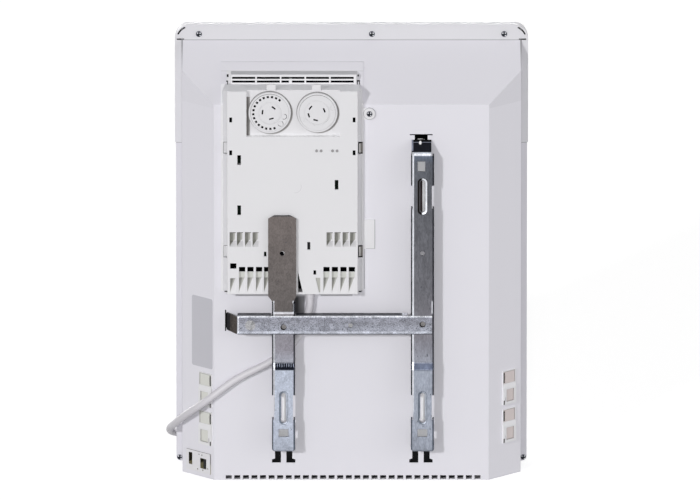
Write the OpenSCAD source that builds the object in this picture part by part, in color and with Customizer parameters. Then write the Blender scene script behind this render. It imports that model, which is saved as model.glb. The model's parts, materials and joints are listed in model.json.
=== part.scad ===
// Wall-hung electric convector heater with its steel wall bracket, standing on its base.
// X runs from left to right as seen from the front, -Y is the front, +Y the wall side, +Z is up.
// The origin is the middle of the footprint, at the level that the heater stands on.

/* [Casing] */
// Width of the front panel
panel_w = 351.8; // [345:0.1:370]
// Height of the casing over its hood
body_h = 455.3; // [446:0.1:470]
// Depth of the casing from its back plate to its front face
body_d = 78; // [76:0.5:86]
// Distance from the back plate to the rear face of the rim
rim_d = 62; // [58:0.5:63]
// How far the hood stands proud of the panel on each side
hood_proud = 0.9; // [0.3:0.05:1.5]
// Height of the hood above its seam with the front panel
hood_h = 121.6; // [116:0.1:126]
// Height of the lower edge of the front panel above the floor
panel_z = 3.4; // [2.5:0.1:6]
// Radius of the casing's front edges
edge_r = 6; // [4:0.5:8]
// Radius of the hood's upper corners
hood_corner_r = 16.5; // [12:0.5:20]
// Radius of the panel's lower corners
panel_corner_r = 5; // [4:0.5:8]
// Thickness of the steel sheet
sheet = 0.8; // [0.7:0.1:1]
// Wall of the plastic hood
hood_wall = 2; // [1.6:0.1:2.6]
// Thickness of the rim's rear flange
rim_t = 1.2; // [1:0.1:1.5]

/* [Rear shell] */
// Distance of the rear shell's side walls inside the panel's sides
rim_in = 6.2; // [6:0.05:9]
// Width that each side chamfer takes off the back plate
facet_w = 32.2; // [30:0.2:36]
// Depth of each side chamfer
facet_d = 32.5; // [30:0.5:36]
// Height of the sloping upper facet
top_facet_h = 51.3; // [48:0.1:56]
// Height of the hood's rear strip above the upper facet
strip_h = 15.9; // [14:0.1:18]
// Number of air inlet slots in a row
inlet_count = 30; // [20:1:30]
// Width of an inlet slot
inlet_w = 6; // [4:0.1:6.6]
// Distance between inlet slots
inlet_pitch = 8.6; // [8:0.1:8.8]
// Height of the inlet slots up the back plate
inlet_h = 4.9; // [3:0.1:8]

/* [Control housing] */
// Distance of the housing's middle from the casing's middle
housing_x = 59; // [57:0.5:61]
// Width of the housing at its foot
housing_w = 140; // [138:0.5:144]
// Height of the housing below its ledge
housing_h = 209; // [207:0.5:214]
// Height that the housing stands out of the back plate
housing_out = 14; // [13.5:0.1:15]
// Draft of the housing's side walls
housing_draft = 5; // [3:0.5:6]
// Wall of the housing
housing_wall = 2; // [1.6:0.1:2.2]
// Height of the ledge above the crease of the upper facet
ledge_up = 16.9; // [15:0.1:18]
// Height of the louvre box above the ledge
louvre_h = 10; // [9:0.1:11]
// Depth of the dial recess
recess_d = 6; // [5:0.5:7]
// Height of one louvre slot
louvre_slot_h = 2.1; // [1.4:0.1:2.6]

/* [Dials] */
// Distance between the two dial axes
dial_gap = 47.5; // [46.5:0.5:50]
// Distance of the dial axes below the ledge
dial_down = 22.5; // [22:0.5:24]
// Radius of the temperature dial
temp_dial_r = 21.3; // [20:0.1:22.8]
// Radius of the mode dial
mode_dial_r = 20.4; // [19:0.1:22]
// Thickness of a dial
dial_t = 4; // [3:0.1:5]
// Radius of a dial's hollow spindle
spindle_r = 4; // [3.6:0.1:4.6]
// Radius of the front knobs
knob_r = 17; // [15:0.5:19]
// Running clearance round the spindles
running_gap = 0.3; // [0.25:0.05:0.4]

/* [Outlet and fascia] */
// Depth of the outlet slats
slat_d = 13; // [10:0.5:14]
// Number of outlet slats
slat_count = 7; // [5:1:8]
// Thickness of a slat
slat_t = 1.6; // [1.2:0.1:2]
// Depth of the control fascia below the casing's front face
fascia_in = 9.4; // [8.5:0.1:9.9]

/* [Wall bracket] */
// Distance from the back plate to the wall
stand_off = 20; // [19:0.5:24]
// Width of a bracket channel
channel_w = 23; // [21:0.5:24]
// Thickness of the bracket's steel
bracket_t = 1.5; // [1.2:0.1:1.8]
// Depth of the channel flanges
flange_d = 12; // [9:0.5:12]
// Outer bend radius of the channels
bend_r = 2.2; // [2:0.1:2.6]
// X of the upright that reaches the upper slot
right_upright_x = -71; // [-74:0.5:-66]
// X of the upright that carries the tongue
left_upright_x = 68; // [64:0.5:70]
// Height of the lower end of both uprights
upright_z = 34.4; // [33:0.2:36]
// Distance of the bend at the top of the tall upright below the crease of the upper facet
upright_drop = 45.6; // [44:0.1:52]
// Distance of the cross bar's middle below the control housing
bar_down = 30.7; // [28:0.1:34]
// Width of the cross bar's web
bar_w = 19.6; // [18:0.1:22]
// Width of the tongue
tongue_w = 28; // [26:0.5:29]
// Height of the tongue's top above the middle of the cross bar
tongue_up = 113.2; // [105:0.1:120]
// Height of the tongue's shoulders above the middle of the cross bar
shoulder_up = 29.7; // [26:0.1:34]
// Height of the gauge holes above the middle of the cross bar
gauge_up = 74; // [70:0.5:80]
// Radius of the round screw holes
screw_hole_r = 2.4; // [2:0.1:3]
// Half width of the keyholes' slots
keyhole_slot_r = 2.4; // [2:0.1:2.6]
// Radius of the keyholes' entry
keyhole_r = 3.2; // [3:0.1:4]

/* [Heating] */
// Radius of the element's tube
element_r = 4; // [3.5:0.1:4.5]
// Clearance from each end of the heating element to the side wall
element_gap = 22.6; // [20:0.1:30]
// Height of the element above the base
element_z = 72; // [60:1:90]
// Height of an element fin
fin_h = 60; // [40:1:64]
// Depth of an element fin
fin_d = 34; // [24:1:36]
// Number of element fins
fin_count = 26; // [16:1:30]

/* [Mains lead] */
// Diameter of the mains lead
cord_d = 7.6; // [6.6:0.1:7.6]
// Turns of the put away coil in each layer
coil_turns = 2; // [2:1:3]
// Step of the coil from turn to turn, and from layer to layer
coil_step = 8.2; // [8.2:0.1:8.8]
// Radius of the coil's outer turn
coil_r = 46; // [44:0.5:50]

/* [Hidden] */
$fn = 48;
eps = 0.01;
touch = 0.3;

// The back plate's outer face is the plane y = 0 of the local frame in which the pieces are drawn
front_y = -(body_d + stand_off) / 2;
back_y = front_y + body_d;

shell_w = panel_w - 2 * rim_in;
seam_z = body_h - hood_h;
facet_angle = atan(facet_d / facet_w);
flat_w = shell_w - 2 * facet_w;
rim_top = body_h - strip_h;
crease_z = rim_top - top_facet_h;
shell_front = rim_d + rim_t + sheet;

ledge_z = crease_z + ledge_up;
housing_z = ledge_z - housing_h;
housing_foot_t = 1.2;
foot_up_z = crease_z + 34;
window_margin = 9;
window_w = housing_w - 2 * window_margin;
foot_ring = 1.2;
cavity_out = housing_out - housing_wall;
top_w = housing_w - 2 * housing_draft;
louvre_back = 16;
louvre_draft = 0.05;
louvre_top = ledge_z + louvre_h;
louvre_w = top_w - 5;
louvre_x = housing_x - 1.3;
bays_x = housing_x - 0.5;
rear_taper = 9;
corner_w = 3;
corner_h = 3;
dial_z = ledge_z - dial_down;
temp_x = housing_x + dial_gap / 2 - 1.1;
mode_x = temp_x - dial_gap;
recess_w = 93;
recess_low = dial_z - 24;
dial_face = housing_out - recess_d + touch;
bar_z = housing_z - bar_down;
upright_top = crease_z - upright_drop;
tongue_top = bar_z + tongue_up;
tongue_z = bar_z + shoulder_up;
gauge_z = bar_z + gauge_up;
element_l = shell_w - 2 * element_gap;

// Profiles of the casing, with an inset t for the inside of a wall
module shell_plan(t) {
    a = facet_angle;
    x0 = flat_w / 2 - t * (1 - cos(a)) / sin(a);
    x1 = shell_w / 2 - t;
    y1 = -facet_d - t * (1 - sin(a)) / cos(a);
    polygon([[x0, -t], [x1, y1], [x1, -shell_front - t], [-x1, -shell_front - t], [-x1, y1], [-x0, -t]]);
}

// Side view of the back: upright plate, upper facet, and a short lip under the hood's strip
module shell_side(t) {
    a = atan2(rim_d, top_facet_h);
    z0 = crease_z - t * (1 - cos(a)) / sin(a);
    y1 = -rim_d - t * (1 - sin(a)) / cos(a);
    polygon([[-t, t], [-t, z0], [y1, rim_top - t], [-shell_front - t, rim_top - t], [-shell_front - t, t]]);
}

// Lays a profile drawn in (y, z) along X
module along_x(w, x = 0) {
    translate([x - w / 2, 0, 0]) rotate([90, 0, 90]) linear_extrude(w) children();
}

// Lays a profile drawn in (x, z) along Y, from y0 towards the front by d
module along_y(y0, d) {
    translate([0, y0, 0]) rotate([90, 0, 0]) linear_extrude(d) children();
}

module shell_block(t) {
    intersection() {
        linear_extrude(body_h) shell_plan(t);
        along_x(shell_w) shell_side(t);
    }
}

// Square of w by d whose two front corners are round
module front_rounded(w, d, r) {
    translate([-w / 2, -d + r]) square([w, d - r]);
    translate([-w / 2 + r, -d]) square([w - 2 * r, r + eps]);
    for (s = [-1, 1]) translate([s * (w / 2 - r), -d + r]) circle(r);
}

// Outline of the casing seen from the front
module casing_front(w, z0, z1, low_r, high_r) {
    translate([-w / 2 + low_r, z0]) square([w - 2 * low_r, low_r]);
    translate([-w / 2, z0 + low_r]) square([w, z1 - z0 - low_r - high_r]);
    translate([-w / 2 + high_r, z1 - high_r - eps]) square([w - 2 * high_r, high_r + eps]);
    for (s = [-1, 1]) {
        translate([s * (w / 2 - low_r), z0 + low_r]) circle(low_r);
        translate([s * (w / 2 - high_r), z1 - high_r]) circle(high_r);
    }
}

// Side view of the casing, with round front edges at the top and the bottom
module casing_side(z0, z1, d, r) {
    translate([-d + r, z0]) square([d - r, z1 - z0]);
    translate([-d, z0 + r]) square([r + eps, z1 - z0 - 2 * r]);
    for (z = [z0 + r, z1 - r]) translate([-d + r, z]) circle(r);
}

// Whole front casing as a solid, w wide, shrunk by t
module casing_block(w, t) {
    intersection() {
        along_y(0, body_d) casing_front(w - 2 * t, panel_z + t, body_h - t, panel_corner_r - t / 2,
            hood_corner_r - t);
        linear_extrude(body_h) front_rounded(w - 2 * t, body_d - t, edge_r - t / 2);
        along_x(w) casing_side(panel_z + t, body_h - t, body_d - t, edge_r - t / 2);
    }
}

module slab_y(y0, d, z0, z1) {
    translate([-body_h, y0 - d, z0]) cube([2 * body_h, d, z1 - z0]);
}

// Front casing between two heights: a tray with a flange round its rear edge
module casing_tray(w, t, z0, z1) {
    intersection() {
        slab_y(-rim_d, body_d, z0, z1);
        difference() {
            union() {
                difference() {
                    casing_block(w, 0);
                    casing_block(w, t);
                }
                intersection() {
                    casing_block(w, 0);
                    slab_y(-rim_d, rim_t, z0, z1);
                }
            }
            translate([-shell_w / 2 - touch, -shell_front - fit, -1])
                cube([shell_w + 2 * touch, body_d, rim_top + 1 + touch / 2]);
        }
    }
}

module box_at(x, y, z, w, d, h) {
    translate([x - w / 2, y - d, z]) cube([w, d, h]);
}

// Cylinder along Y from y0 towards the front
module pin_y(x, y0, z, r, d) {
    translate([x, y0, z]) rotate([90, 0, 0]) cylinder(h = d, r = r);
}

module in_place() {
    translate([0, back_y, 0]) children();
}

// Frame of a side chamfer: u along the slope, y out of it
module on_facet(side) {
    mirror([side < 0 ? 1 : 0, 0, 0])
        translate([flat_w / 2, 0, 0]) rotate([0, 0, -facet_angle]) children();
}

/* Outlet, fascia and hood openings in the front face */
outlet_x = -89;
outlet_w = 154;
outlet_h = 72;
outlet_drop = 15.4;
outlet_z = rim_top - outlet_drop - outlet_h;
fascia_x = housing_x;
fascia_w = 128;
fascia_z = dial_z - 34;
fascia_h = 62;
frame_t = 1.6;
fit = 0.2;
knob_h = fascia_in - 1;

module opening_outline(x, z, w, h, r, grow) {
    full_w = w + 2 * grow;
    full_h = h + 2 * grow;
    translate([x - full_w / 2 + r, z - grow]) square([full_w - 2 * r, full_h]);
    translate([x - full_w / 2, z - grow + r]) square([full_w, full_h - 2 * r]);
    for (s = [-1, 1], z1 = [z - grow + r, z + h + grow - r])
        translate([x + s * (full_w / 2 - r), z1]) circle(r);
}

opening_r = 4;
screw_head_r = 2.9;
screw_head_t = 2;
screw_r = 1.8;
screw_l = 8;
hood_screw_z = rim_top + strip_h / 2 - 2;
hood_screws_x = [-0.45 * shell_w, -0.06 * shell_w, 0.45 * shell_w];
side_screw_x = (panel_w - rim_in) / 2 - 0.3;
side_screw_z = panel_z + 4;
side_head_r = 2.6;

module hood_holes() {
    for (x = hood_screws_x) pin_y(x, 0, hood_screw_z, screw_r + fit, body_d - hood_wall - 4);
}

module side_holes() {
    for (s = [-1, 1]) pin_y(s * side_screw_x, 0, side_screw_z, screw_r + fit, rim_d + rim_t + sheet + 4);
}

module front_panel() {
    color("whitesmoke") in_place() difference() {
        casing_tray(panel_w, sheet, panel_z, seam_z);
        side_holes();
    }
}

// Narrow gap round the corner plate, and the slit at the end of the rear strip
module corner_gaps() {
    hood_w = panel_w + 2 * hood_proud;
    gap_r = hood_corner_r - 1.8;
    for (s = [-1, 1]) {
        translate([s * (hood_w / 2 - hood_corner_r), 1 - rim_d, body_h - hood_corner_r]) intersection() {
            rotate([90, 0, 0]) difference() {
                cylinder(h = rim_t + 2, r = gap_r + 0.6);
                translate([0, 0, -1]) cylinder(h = rim_t + 4, r = gap_r - 0.6);
            }
            rotate([90, 0, 0]) linear_extrude(rim_t + 2)
                polygon([[0, 0], [s * 2 * gap_r, 0.9 * gap_r], [s * gap_r, 2 * gap_r]]);
        }
        box_at(s * (shell_w / 2 + 1.6), 1 - rim_d, rim_top + touch / 2 - eps, 6, rim_t + 2, 1);
    }
}

module top_hood() {
    color("white") in_place() difference() {
        casing_tray(panel_w + 2 * hood_proud, hood_wall, seam_z, body_h);
        hood_holes();
        corner_gaps();
        along_y(-rim_d - rim_t - 1, body_d)
            opening_outline(outlet_x, outlet_z, outlet_w, outlet_h, opening_r, 0);
        along_y(-rim_d - rim_t - 1, body_d)
            opening_outline(fascia_x, fascia_z, fascia_w, fascia_h, opening_r, 0);
    }
}

// Frame with sloping slats and upright ribs, seated in the hood's left opening
module outlet_louvre() {
    face = -body_d + 0.6;
    slat_pitch = (outlet_h - 2 * frame_t) / slat_count;
    rib_gap = outlet_w / 5;
    color("white") in_place() {
        difference() {
            along_y(face + slat_d, slat_d)
                opening_outline(outlet_x, outlet_z, outlet_w, outlet_h, opening_r, -fit);
            along_y(face + slat_d + 1, slat_d + 2)
                opening_outline(outlet_x, outlet_z, outlet_w, outlet_h, opening_r - frame_t, -fit - frame_t);
        }
        for (i = [0:slat_count - 1]) along_x(outlet_w - frame_t, outlet_x)
            translate([face, outlet_z + frame_t + (i + 0.3) * slat_pitch])
                polygon([[0.4, 0], [slat_d - 1, 3], [slat_d - 1, 3 + slat_t], [0.4, slat_t]]);
        for (i = [1:4]) box_at(outlet_x - outlet_w / 2 + i * rib_gap, face + slat_d - 1,
            outlet_z + frame_t / 2, slat_t, slat_d - 3, outlet_h - frame_t);
    }
}

// Folded sheet that turns the rising air forward to the outlet
module air_deflector() {
    face = -body_d + 0.6 + slat_d + fit;
    reach = outlet_h / 2 - 6;
    bend = 0.42 * reach;
    back = face + reach;
    top_z = outlet_z + outlet_h - 2;
    low_z = top_z - reach - 14;
    inner = sheet * tan(22.5);
    color("silver") in_place() along_x(outlet_w - 14, outlet_x) polygon([[face, top_z + 2],
        [face + 2, top_z + 2], [face + 2, top_z], [back - bend, top_z], [back, top_z - bend],
        [back, low_z], [back - sheet, low_z],
        [back - sheet, top_z - bend - inner], [back - bend - inner, top_z - sheet], [face, top_z - sheet]]);
}

module control_fascia() {
    floor_y = -body_d + fascia_in;
    color("white") in_place() difference() {
        union() {
            difference() {
                along_y(floor_y + hood_wall, fascia_in + hood_wall - 0.6)
                    opening_outline(fascia_x, fascia_z, fascia_w, fascia_h, opening_r, -fit);
                along_y(floor_y, body_d) opening_outline(fascia_x, fascia_z, fascia_w, fascia_h,
                    opening_r - frame_t, -fit - frame_t);
            }
            for (x = [temp_x, mode_x]) pin_y(x, floor_y + hood_wall + 6, dial_z, spindle_r + 3, 7);
        }
        for (x = [temp_x, mode_x]) pin_y(x, 0, dial_z, spindle_r + running_gap, body_d);
        pin_y(lens_x, 0, dial_z, lens_r + fit / 2, body_d);
    }
}

lens_x = housing_x - 52;
lens_r = 2.5;

module pilot_lens() {
    floor_y = -body_d + fascia_in;
    color("orange") in_place() {
        pin_y(lens_x, floor_y + hood_wall + 1, dial_z, lens_r, hood_wall + 1.6);
        pin_y(lens_x, floor_y + hood_wall + 2, dial_z, lens_r + 1, 2 - eps);
    }
}

/* Openings of the back plate */
slot_stem_w = 6;
slot_toe = 3;
slot_drop = 16.4;
slot_z = upright_z - slot_drop;
slot_toe_h = 4.3;
hook_room = 1.4;
slot_top = upright_z + bracket_t + hook_room;
hook_gap = 5.4;
hook_w = 4.6;
upright_shift = 1.4;
hooks_x = [left_upright_x, right_upright_x + upright_shift];

module hook_slots(x) {
    for (s = [-1, 1]) along_y(1, sheet + 2)
        polygon([for (p = [[hook_gap / 2, slot_z], [hook_gap / 2 + slot_stem_w + slot_toe, slot_z],
            [hook_gap / 2 + slot_stem_w + slot_toe, slot_z + slot_toe_h - 1],
            [hook_gap / 2 + slot_stem_w, slot_z + slot_toe_h],
            [hook_gap / 2 + slot_stem_w, slot_top], [hook_gap / 2, slot_top]]) [x + s * p[0], p[1]]]);
}

t_slot_w = 22.8;
t_slot_stem = 13;
t_slot_z = upright_top + 7.5;
t_slot_h = 7.6;
t_slot_lip = 1.2;
bar_slot_x = 121.8;
bar_slot_w = 4.2;
bar_slot_h = 15.2;
bar_slot_lip_h = 22;

module bracket_slots() {
    box_at(hooks_x[1], 1, t_slot_z, t_slot_stem, sheet + 2, t_slot_h);
    box_at(hooks_x[1], 1, t_slot_z + t_slot_h - t_slot_lip, t_slot_w, sheet + 2, t_slot_lip);
    box_at(bar_slot_x + bar_slot_w / 2, 1, bar_z - bar_slot_h / 2, bar_slot_w, sheet + 2, bar_slot_h);
    box_at(bar_slot_x + bar_slot_w, 1, bar_z - bar_slot_lip_h / 2, t_slot_lip, sheet + 2, bar_slot_lip_h);
}

inlet_x = -1.6;
inlet_rows = [[20, 14], [38, 17]];

module inlet_slots() {
    for (i = [0:inlet_count - 1]) {
        x = inlet_x + (i - (inlet_count - 1) / 2) * inlet_pitch;
        box_at(x, 1, -1, inlet_w, sheet + 2, inlet_h + 1);
        for (row = inlet_rows) box_at(x, -row[0], -1, inlet_w, row[1], sheet + 2);
    }
}

housing_screw_x = housing_x - housing_w / 2 - 6.9;
housing_screw_z = ledge_z - 26;
socket_w = 18.2;
socket_low_z = 34.5;
socket_high_z = 74;
socket_h = 35;
socket_t = 1.2;
socket_step = 0.8;
socket_u = [2.6, 19];
socket_rim = 1.8;
sensor_u = 5;
sensor_w = 34;
sensor_z = 4.5;
sensor_h = 21;

module facet_holes() {
    for (i = [0, 1]) on_facet(i == 0 ? 1 : -1)
        for (z = [socket_low_z, socket_high_z])
            translate([socket_u[i] + socket_rim, -5, z + socket_rim])
                cube([socket_w - 2 * socket_rim, 10, socket_h - 2 * socket_rim]);
    on_facet(1) translate([sensor_u + socket_rim, -5, sensor_z + socket_rim])
        cube([sensor_w - 2 * socket_rim, 10, sensor_h - 2 * socket_rim]);
}

module rear_shell() {
    flange_in = rim_in + hood_proud - hood_wall - touch;
    flange_low = panel_z + panel_corner_r + 1;
    color("gainsboro") in_place() difference() {
        union() {
            difference() {
                shell_block(0);
                difference() {
                    shell_block(sheet);
                    slab_y(-shell_front - sheet - 1, 1, 0, body_h);
                }
                box_at(0, -shell_front + eps, sheet, shell_w - 2 * sheet, 4, rim_top - 2 * sheet);
            }
            for (s = [-1, 1]) box_at(s * (shell_w / 2 + flange_in / 2 - sheet / 2), -rim_d - rim_t,
                flange_low, flange_in + sheet, sheet, rim_top - flange_low);
            box_at(0, -rim_d - rim_t, rim_top - sheet, shell_w - 9, sheet, strip_h - hood_wall - touch);
            box_at(0, -rim_d - rim_t, 0, shell_w, sheet, panel_z - fit);
        }
        box_at(housing_x, 5, housing_z + window_margin, window_w, 60, housing_h - 1.6 * window_margin);
        box_at(louvre_x, 5, ledge_z - 20, louvre_w - 6, 60, 20 + louvre_h - 3);
        for (x = hooks_x) hook_slots(x);
        bracket_slots();
        inlet_slots();
        facet_holes();
        hood_holes();
        side_holes();
        pin_y(housing_screw_x, 5, housing_screw_z, screw_r + fit, 10);
    }
}

/* Details of the control housing, drawn from its middle, its ledge and its lower edge */
bay_count = 5;
bay_w = 23;
bay_pitch = 24.6;
slot_rows = [1.7, 5.5];
small_hole = [2.8, 5];
side_hole_x = 61.6;
side_holes_z = [26.7, 60.6];
pocket_w = 6.2;
upper_pocket_z = 49;
upper_pocket_h = 15;
upper_pocket_d = 7;
pocket_ramp = 4.6;
scoop_floor = 1.2;
channel_cut = 4.4;
lower_pocket_h = 15;
window_z = 22.5;
window_h = 5.7;
gland_x = 41.5;
latches_z = [ledge_z - 66, ledge_z - 172.5];
latch_y = 1.8;
latch_d = 10.6;
latch_h = 12;
latch_gap = 1.3;
latch_root = 1.5;
gland_h = 5.2;
gland_r = 4.8;

// Scoop whose floor rises from d deep at its top to the surface at its foot
module scoop(x, z, w, h, d) {
    along_x(w, x) polygon([[housing_out + 1, z], [housing_out, z], [housing_out - d, z + h],
        [housing_out + 1, z + h]]);
}

// Distances of the scoops' middles from the housing's middle
upper_scoops_x = [60.6 - 0.9, 60.6 - 8.2, 60.6 - 16.2, 60.6 - 23.8, -37.2, -45.2, -53.2, -60.6];
lower_scoops_x = [50.4, 42, 33.4, 25.4, -34, -42.4, -51, -59.4];

// Pockets of an even depth with a steep ramp at their foot
module upper_scoops() {
    z = housing_z + upper_pocket_z;
    for (x = upper_scoops_x) {
        scoop(housing_x + x, z, pocket_w, pocket_ramp, upper_pocket_d);
        box_at(housing_x + x, housing_out + 1, z + pocket_ramp - eps, pocket_w, upper_pocket_d + 1,
            upper_pocket_h - pocket_ramp + eps);
    }
}

// Thickened wall behind a row of scoops, between two distances from the middle
module scoop_pad(x0, x1, z, h) {
    box_at(housing_x + (x0 + x1) / 2, cavity_out, z, x1 - x0, upper_pocket_d - housing_wall + scoop_floor, h);
}

module scoop_pads() {
    up_z = housing_z + upper_pocket_z - 1;
    low_h = window_z + window_h + 2;
    scoop_pad(32, top_w / 2, up_z, upper_pocket_h + 2);
    scoop_pad(-top_w / 2, -33, up_z, upper_pocket_h + 2);
    scoop_pad(21, top_w / 2, housing_z, low_h);
    scoop_pad(-top_w / 2, -30.4, housing_z, low_h);
}

// Channel with a window at its top, a shallow run below it and a scoop down to the edge
module lower_scoop(x) {
    scoop(x, housing_z + 1.6, pocket_w, lower_pocket_h, upper_pocket_d);
    box_at(x, housing_out + 1, housing_z + 1.6 + lower_pocket_h, pocket_w, channel_cut,
        window_z - lower_pocket_h);
    box_at(x, housing_out + 1, housing_z + window_z, pocket_w, 2 * housing_out, window_h);
}

module housing_side(t) {
    polygon([[0, housing_z + t], [housing_out - t, housing_z + t], [housing_out - t, ledge_z - t],
        [-rim_d, ledge_z - t], [-rim_d, crease_z], [0, crease_z - 30]]);
}

module housing_plan(t) {
    rear_w = housing_w - 2 * rear_taper;
    polygon([[-rear_w / 2 + t, -rim_d], [rear_w / 2 - t, -rim_d], [housing_w / 2 - t, 0],
        [top_w / 2 - t, housing_out], [-top_w / 2 + t, housing_out], [-housing_w / 2 + t, 0]]);
}

// Outline of the housing seen from behind, with its upper corners cut
module housing_front(t) {
    half = housing_w / 2 - t;
    top = ledge_z - t;
    polygon([[-half, housing_z + t], [half, housing_z + t], [half, top - corner_h], [half - corner_w, top],
        [corner_w - half, top], [-half, top - corner_h]]);
}

// Louvre box over the ledge, with drafted ends
module louvre_plan(t) {
    draft = louvre_draft * (rim_d - louvre_back);
    polygon([[-louvre_w / 2 - draft + t, -rim_d], [louvre_w / 2 + draft - t, -rim_d],
        [louvre_w / 2 - t, -louvre_back - t], [-louvre_w / 2 + t, -louvre_back - t]]);
}

module housing_block(t) {
    intersection() {
        along_x(housing_w, housing_x) housing_side(t);
        translate([housing_x, 0, 0]) linear_extrude(body_h) housing_plan(t);
        translate([housing_x, 0, 0]) along_y(2 * housing_out, body_d + 2 * housing_out) housing_front(t);
    }
    translate([louvre_x, 0, crease_z]) linear_extrude(louvre_top - t - crease_z) louvre_plan(t);
}

// Everything outside the casing's back, for what lies on it
module outside_shell(w) {
    difference() {
        box_at(housing_x, 40, housing_z - 40, w, 40 + rim_d, body_h - housing_z + 40);
        along_x(2 * w, housing_x) shell_side(0);
    }
}

module housing_foot() {
    intersection() {
        difference() {
            along_x(housing_w + 3, housing_x + 0.5) shell_side(-housing_foot_t);
            along_x(2 * housing_w, housing_x) shell_side(0);
        }
        box_at(housing_x, 20, housing_z, housing_w + 3, body_d, foot_up_z - housing_z);
    }
    box_at(housing_x - housing_w / 2 - 6.3, 0.8, housing_z + 43.6, 12.6, 0.8, 30);
    pin_y(housing_screw_x, housing_foot_t + 0.8, housing_screw_z, 6, housing_foot_t + 0.8);
    box_at(housing_screw_x + 4, housing_foot_t + 0.8, housing_screw_z - 6, 8, housing_foot_t + 0.8, 12);
}

module louvre_slots() {
    for (row = slot_rows, i = [0:bay_count - 1])
        box_at(bays_x + (i - (bay_count - 1) / 2) * bay_pitch, -louvre_back + 1,
            ledge_z + row, bay_w, housing_wall + 2, louvre_slot_h);
}

module latch_windows() {
    for (s = [-1, 1], z = latches_z) translate([housing_x + s * housing_w / 2, 0, z])
        translate([-8, latch_y, 0]) cube([16, latch_d, latch_h]);
}

// Snap arms that rise in the latch windows from the wall below them
module latch_teeth() {
    for (s = [-1, 1], z = latches_z)
        translate([housing_x + s * (housing_w / 2 - 5.4) - 1, latch_y + latch_gap, z - latch_root])
            cube([2, latch_d - 2 * latch_gap, latch_h - latch_gap + latch_root]);
}

module control_housing() {
    color("white") in_place() difference() {
        union() {
            difference() {
                intersection() {
                    housing_block(0);
                    outside_shell(1.15 * housing_w);
                }
                difference() {
                    housing_block(housing_wall);
                    box_at(recess_x, housing_out, recess_low - housing_wall, recess_w + 2 * housing_wall,
                        recess_d + housing_wall, ledge_z);
                    scoop_pads();
                }
                box_at(recess_x, housing_out + 1, recess_low, recess_w, recess_d + 1, ledge_z);
                louvre_slots();
                latch_windows();
            }
            housing_foot();
            latch_teeth();
            box_at(rib_x, -louvre_back, ledge_z + slot_rows[0] - eps, rib_w, housing_wall,
                louvre_slot_h + 2 * eps);
            for (x = tab_xs) box_at(x, tab_y, ledge_z - eps, 8.7, 2.4, 6);
            for (x = board_xs, z = board_zs)
                pin_y(housing_x + x, cavity_out + eps, z, 3, cavity_out - board_top);
        }
        box_at(housing_x, board_top - 0.6, housing_z + window_margin + foot_ring, window_w - 2 * foot_ring,
            26, housing_h - window_margin - foot_ring - housing_wall - 1);
        for (s = [-1, 1], z = side_holes_z)
            box_at(housing_x + s * side_hole_x, housing_out + 1, ledge_z - z - small_hole[1],
                small_hole[0], housing_out, small_hole[1]);
        for (p = key_slots)
            box_at(housing_x + p[0], housing_out + 1, ledge_z - p[1], p[2], housing_out, p[3]);
        upper_scoops();
        for (x = lower_scoops_x) lower_scoop(housing_x + x);
        scoop(housing_x + 59.2, housing_z + 1.6, pocket_w, lower_pocket_h, upper_pocket_d);
        box_at(housing_x + 59.2, housing_out + 1, housing_z + 26.5, pocket_w, 2 * housing_out, 5.4);
        cable_cutouts();
        for (x = [temp_x, mode_x]) pin_y(x, housing_out, dial_z, spindle_r + running_gap, 3 * housing_out);
        for (x = pin_xs) pin_y(housing_x + x, housing_out + 1, pin_z, pin_r + fit / 2, 4);
        pin_y(housing_screw_x, 5, housing_screw_z, screw_r + fit, 10);
    }
}

recess_x = housing_x - 0.6;
tab_xs = [housing_x + 21.2, housing_x - 24];
tab_y = 10;
rib_x = housing_x + 2;
rib_w = 3;
board_xs = [-52, 52];
board_zs = [ledge_z - 165, ledge_z - 78];
board_top = 3.6;
board_t = 1.6;
key_slots = [[53.2, 75.6, 3.6, 10], [53.2, 127.3, 3.6, 10], [-44.1, 101.1, 3.6, 10], [-16.3, 163.1, 3, 8],
    [27.3, 170.1, 2.5, 5], [-22.3, 188.7, 2.6, 4.4]];
pin_xs = [-24.1, -28.6, -40, -44.5];
pin_z = ledge_z - 61;
pin_r = 0.9;

cover_cut = 1.5;

// Openings beside the sloping cover of the lead
module cable_cutouts() {
    along_y(housing_out + 1, 2 * housing_out)
        polygon([[gland_x + 12.2, housing_z + 24], [gland_x + 7.2, housing_z + 2],
            [gland_x + 11.8, housing_z + 2]]);
    along_y(housing_out + 1, 1 + cover_cut)
        polygon([[gland_x - 5.6, housing_z + 17], [gland_x - 10.2, housing_z + 17],
            [gland_x - 10.2, housing_z + 2], [gland_x - 9, housing_z + 2]]);
    translate([gland_x, gland_h, housing_z - 1]) cylinder(h = housing_wall + 12, r = gland_r + fit);
    box_at(gland_x, gland_h, housing_z - 1, 2 * (gland_r + fit), 2 * gland_h, housing_wall + 12);
}

module limit_pins() {
    color("white") in_place() for (x = pin_xs) {
        pin_y(housing_x + x, housing_out + 0.8, pin_z, pin_r + 0.5, 0.8);
        pin_y(housing_x + x, housing_out, pin_z, pin_r, housing_wall);
    }
}

module housing_screw() {
    color("dimgray") in_place() pan_screw(housing_screw_x, housing_foot_t + 0.8, housing_screw_z,
        side_head_r + fit, screw_l);
}

// Pan head screw whose head rests on y0, with a cross recess
module pan_screw(x, y0, z, r, l) {
    translate([x, y0, z]) rotate([90, 0, 0]) difference() {
        union() {
            rotate_extrude() polygon([[0, -screw_head_t], [r * 0.7, -screw_head_t], [r, -screw_head_t * 0.45],
                [r, 0], [0, 0]]);
            cylinder(h = l, r = screw_r);
        }
        for (a = [0, 90]) rotate([0, 0, a]) translate([-r * 0.65, -r * 0.17, -screw_head_t - 1])
            cube([r * 1.3, r * 0.34, 1 + screw_head_t * 0.7]);
    }
}

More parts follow.
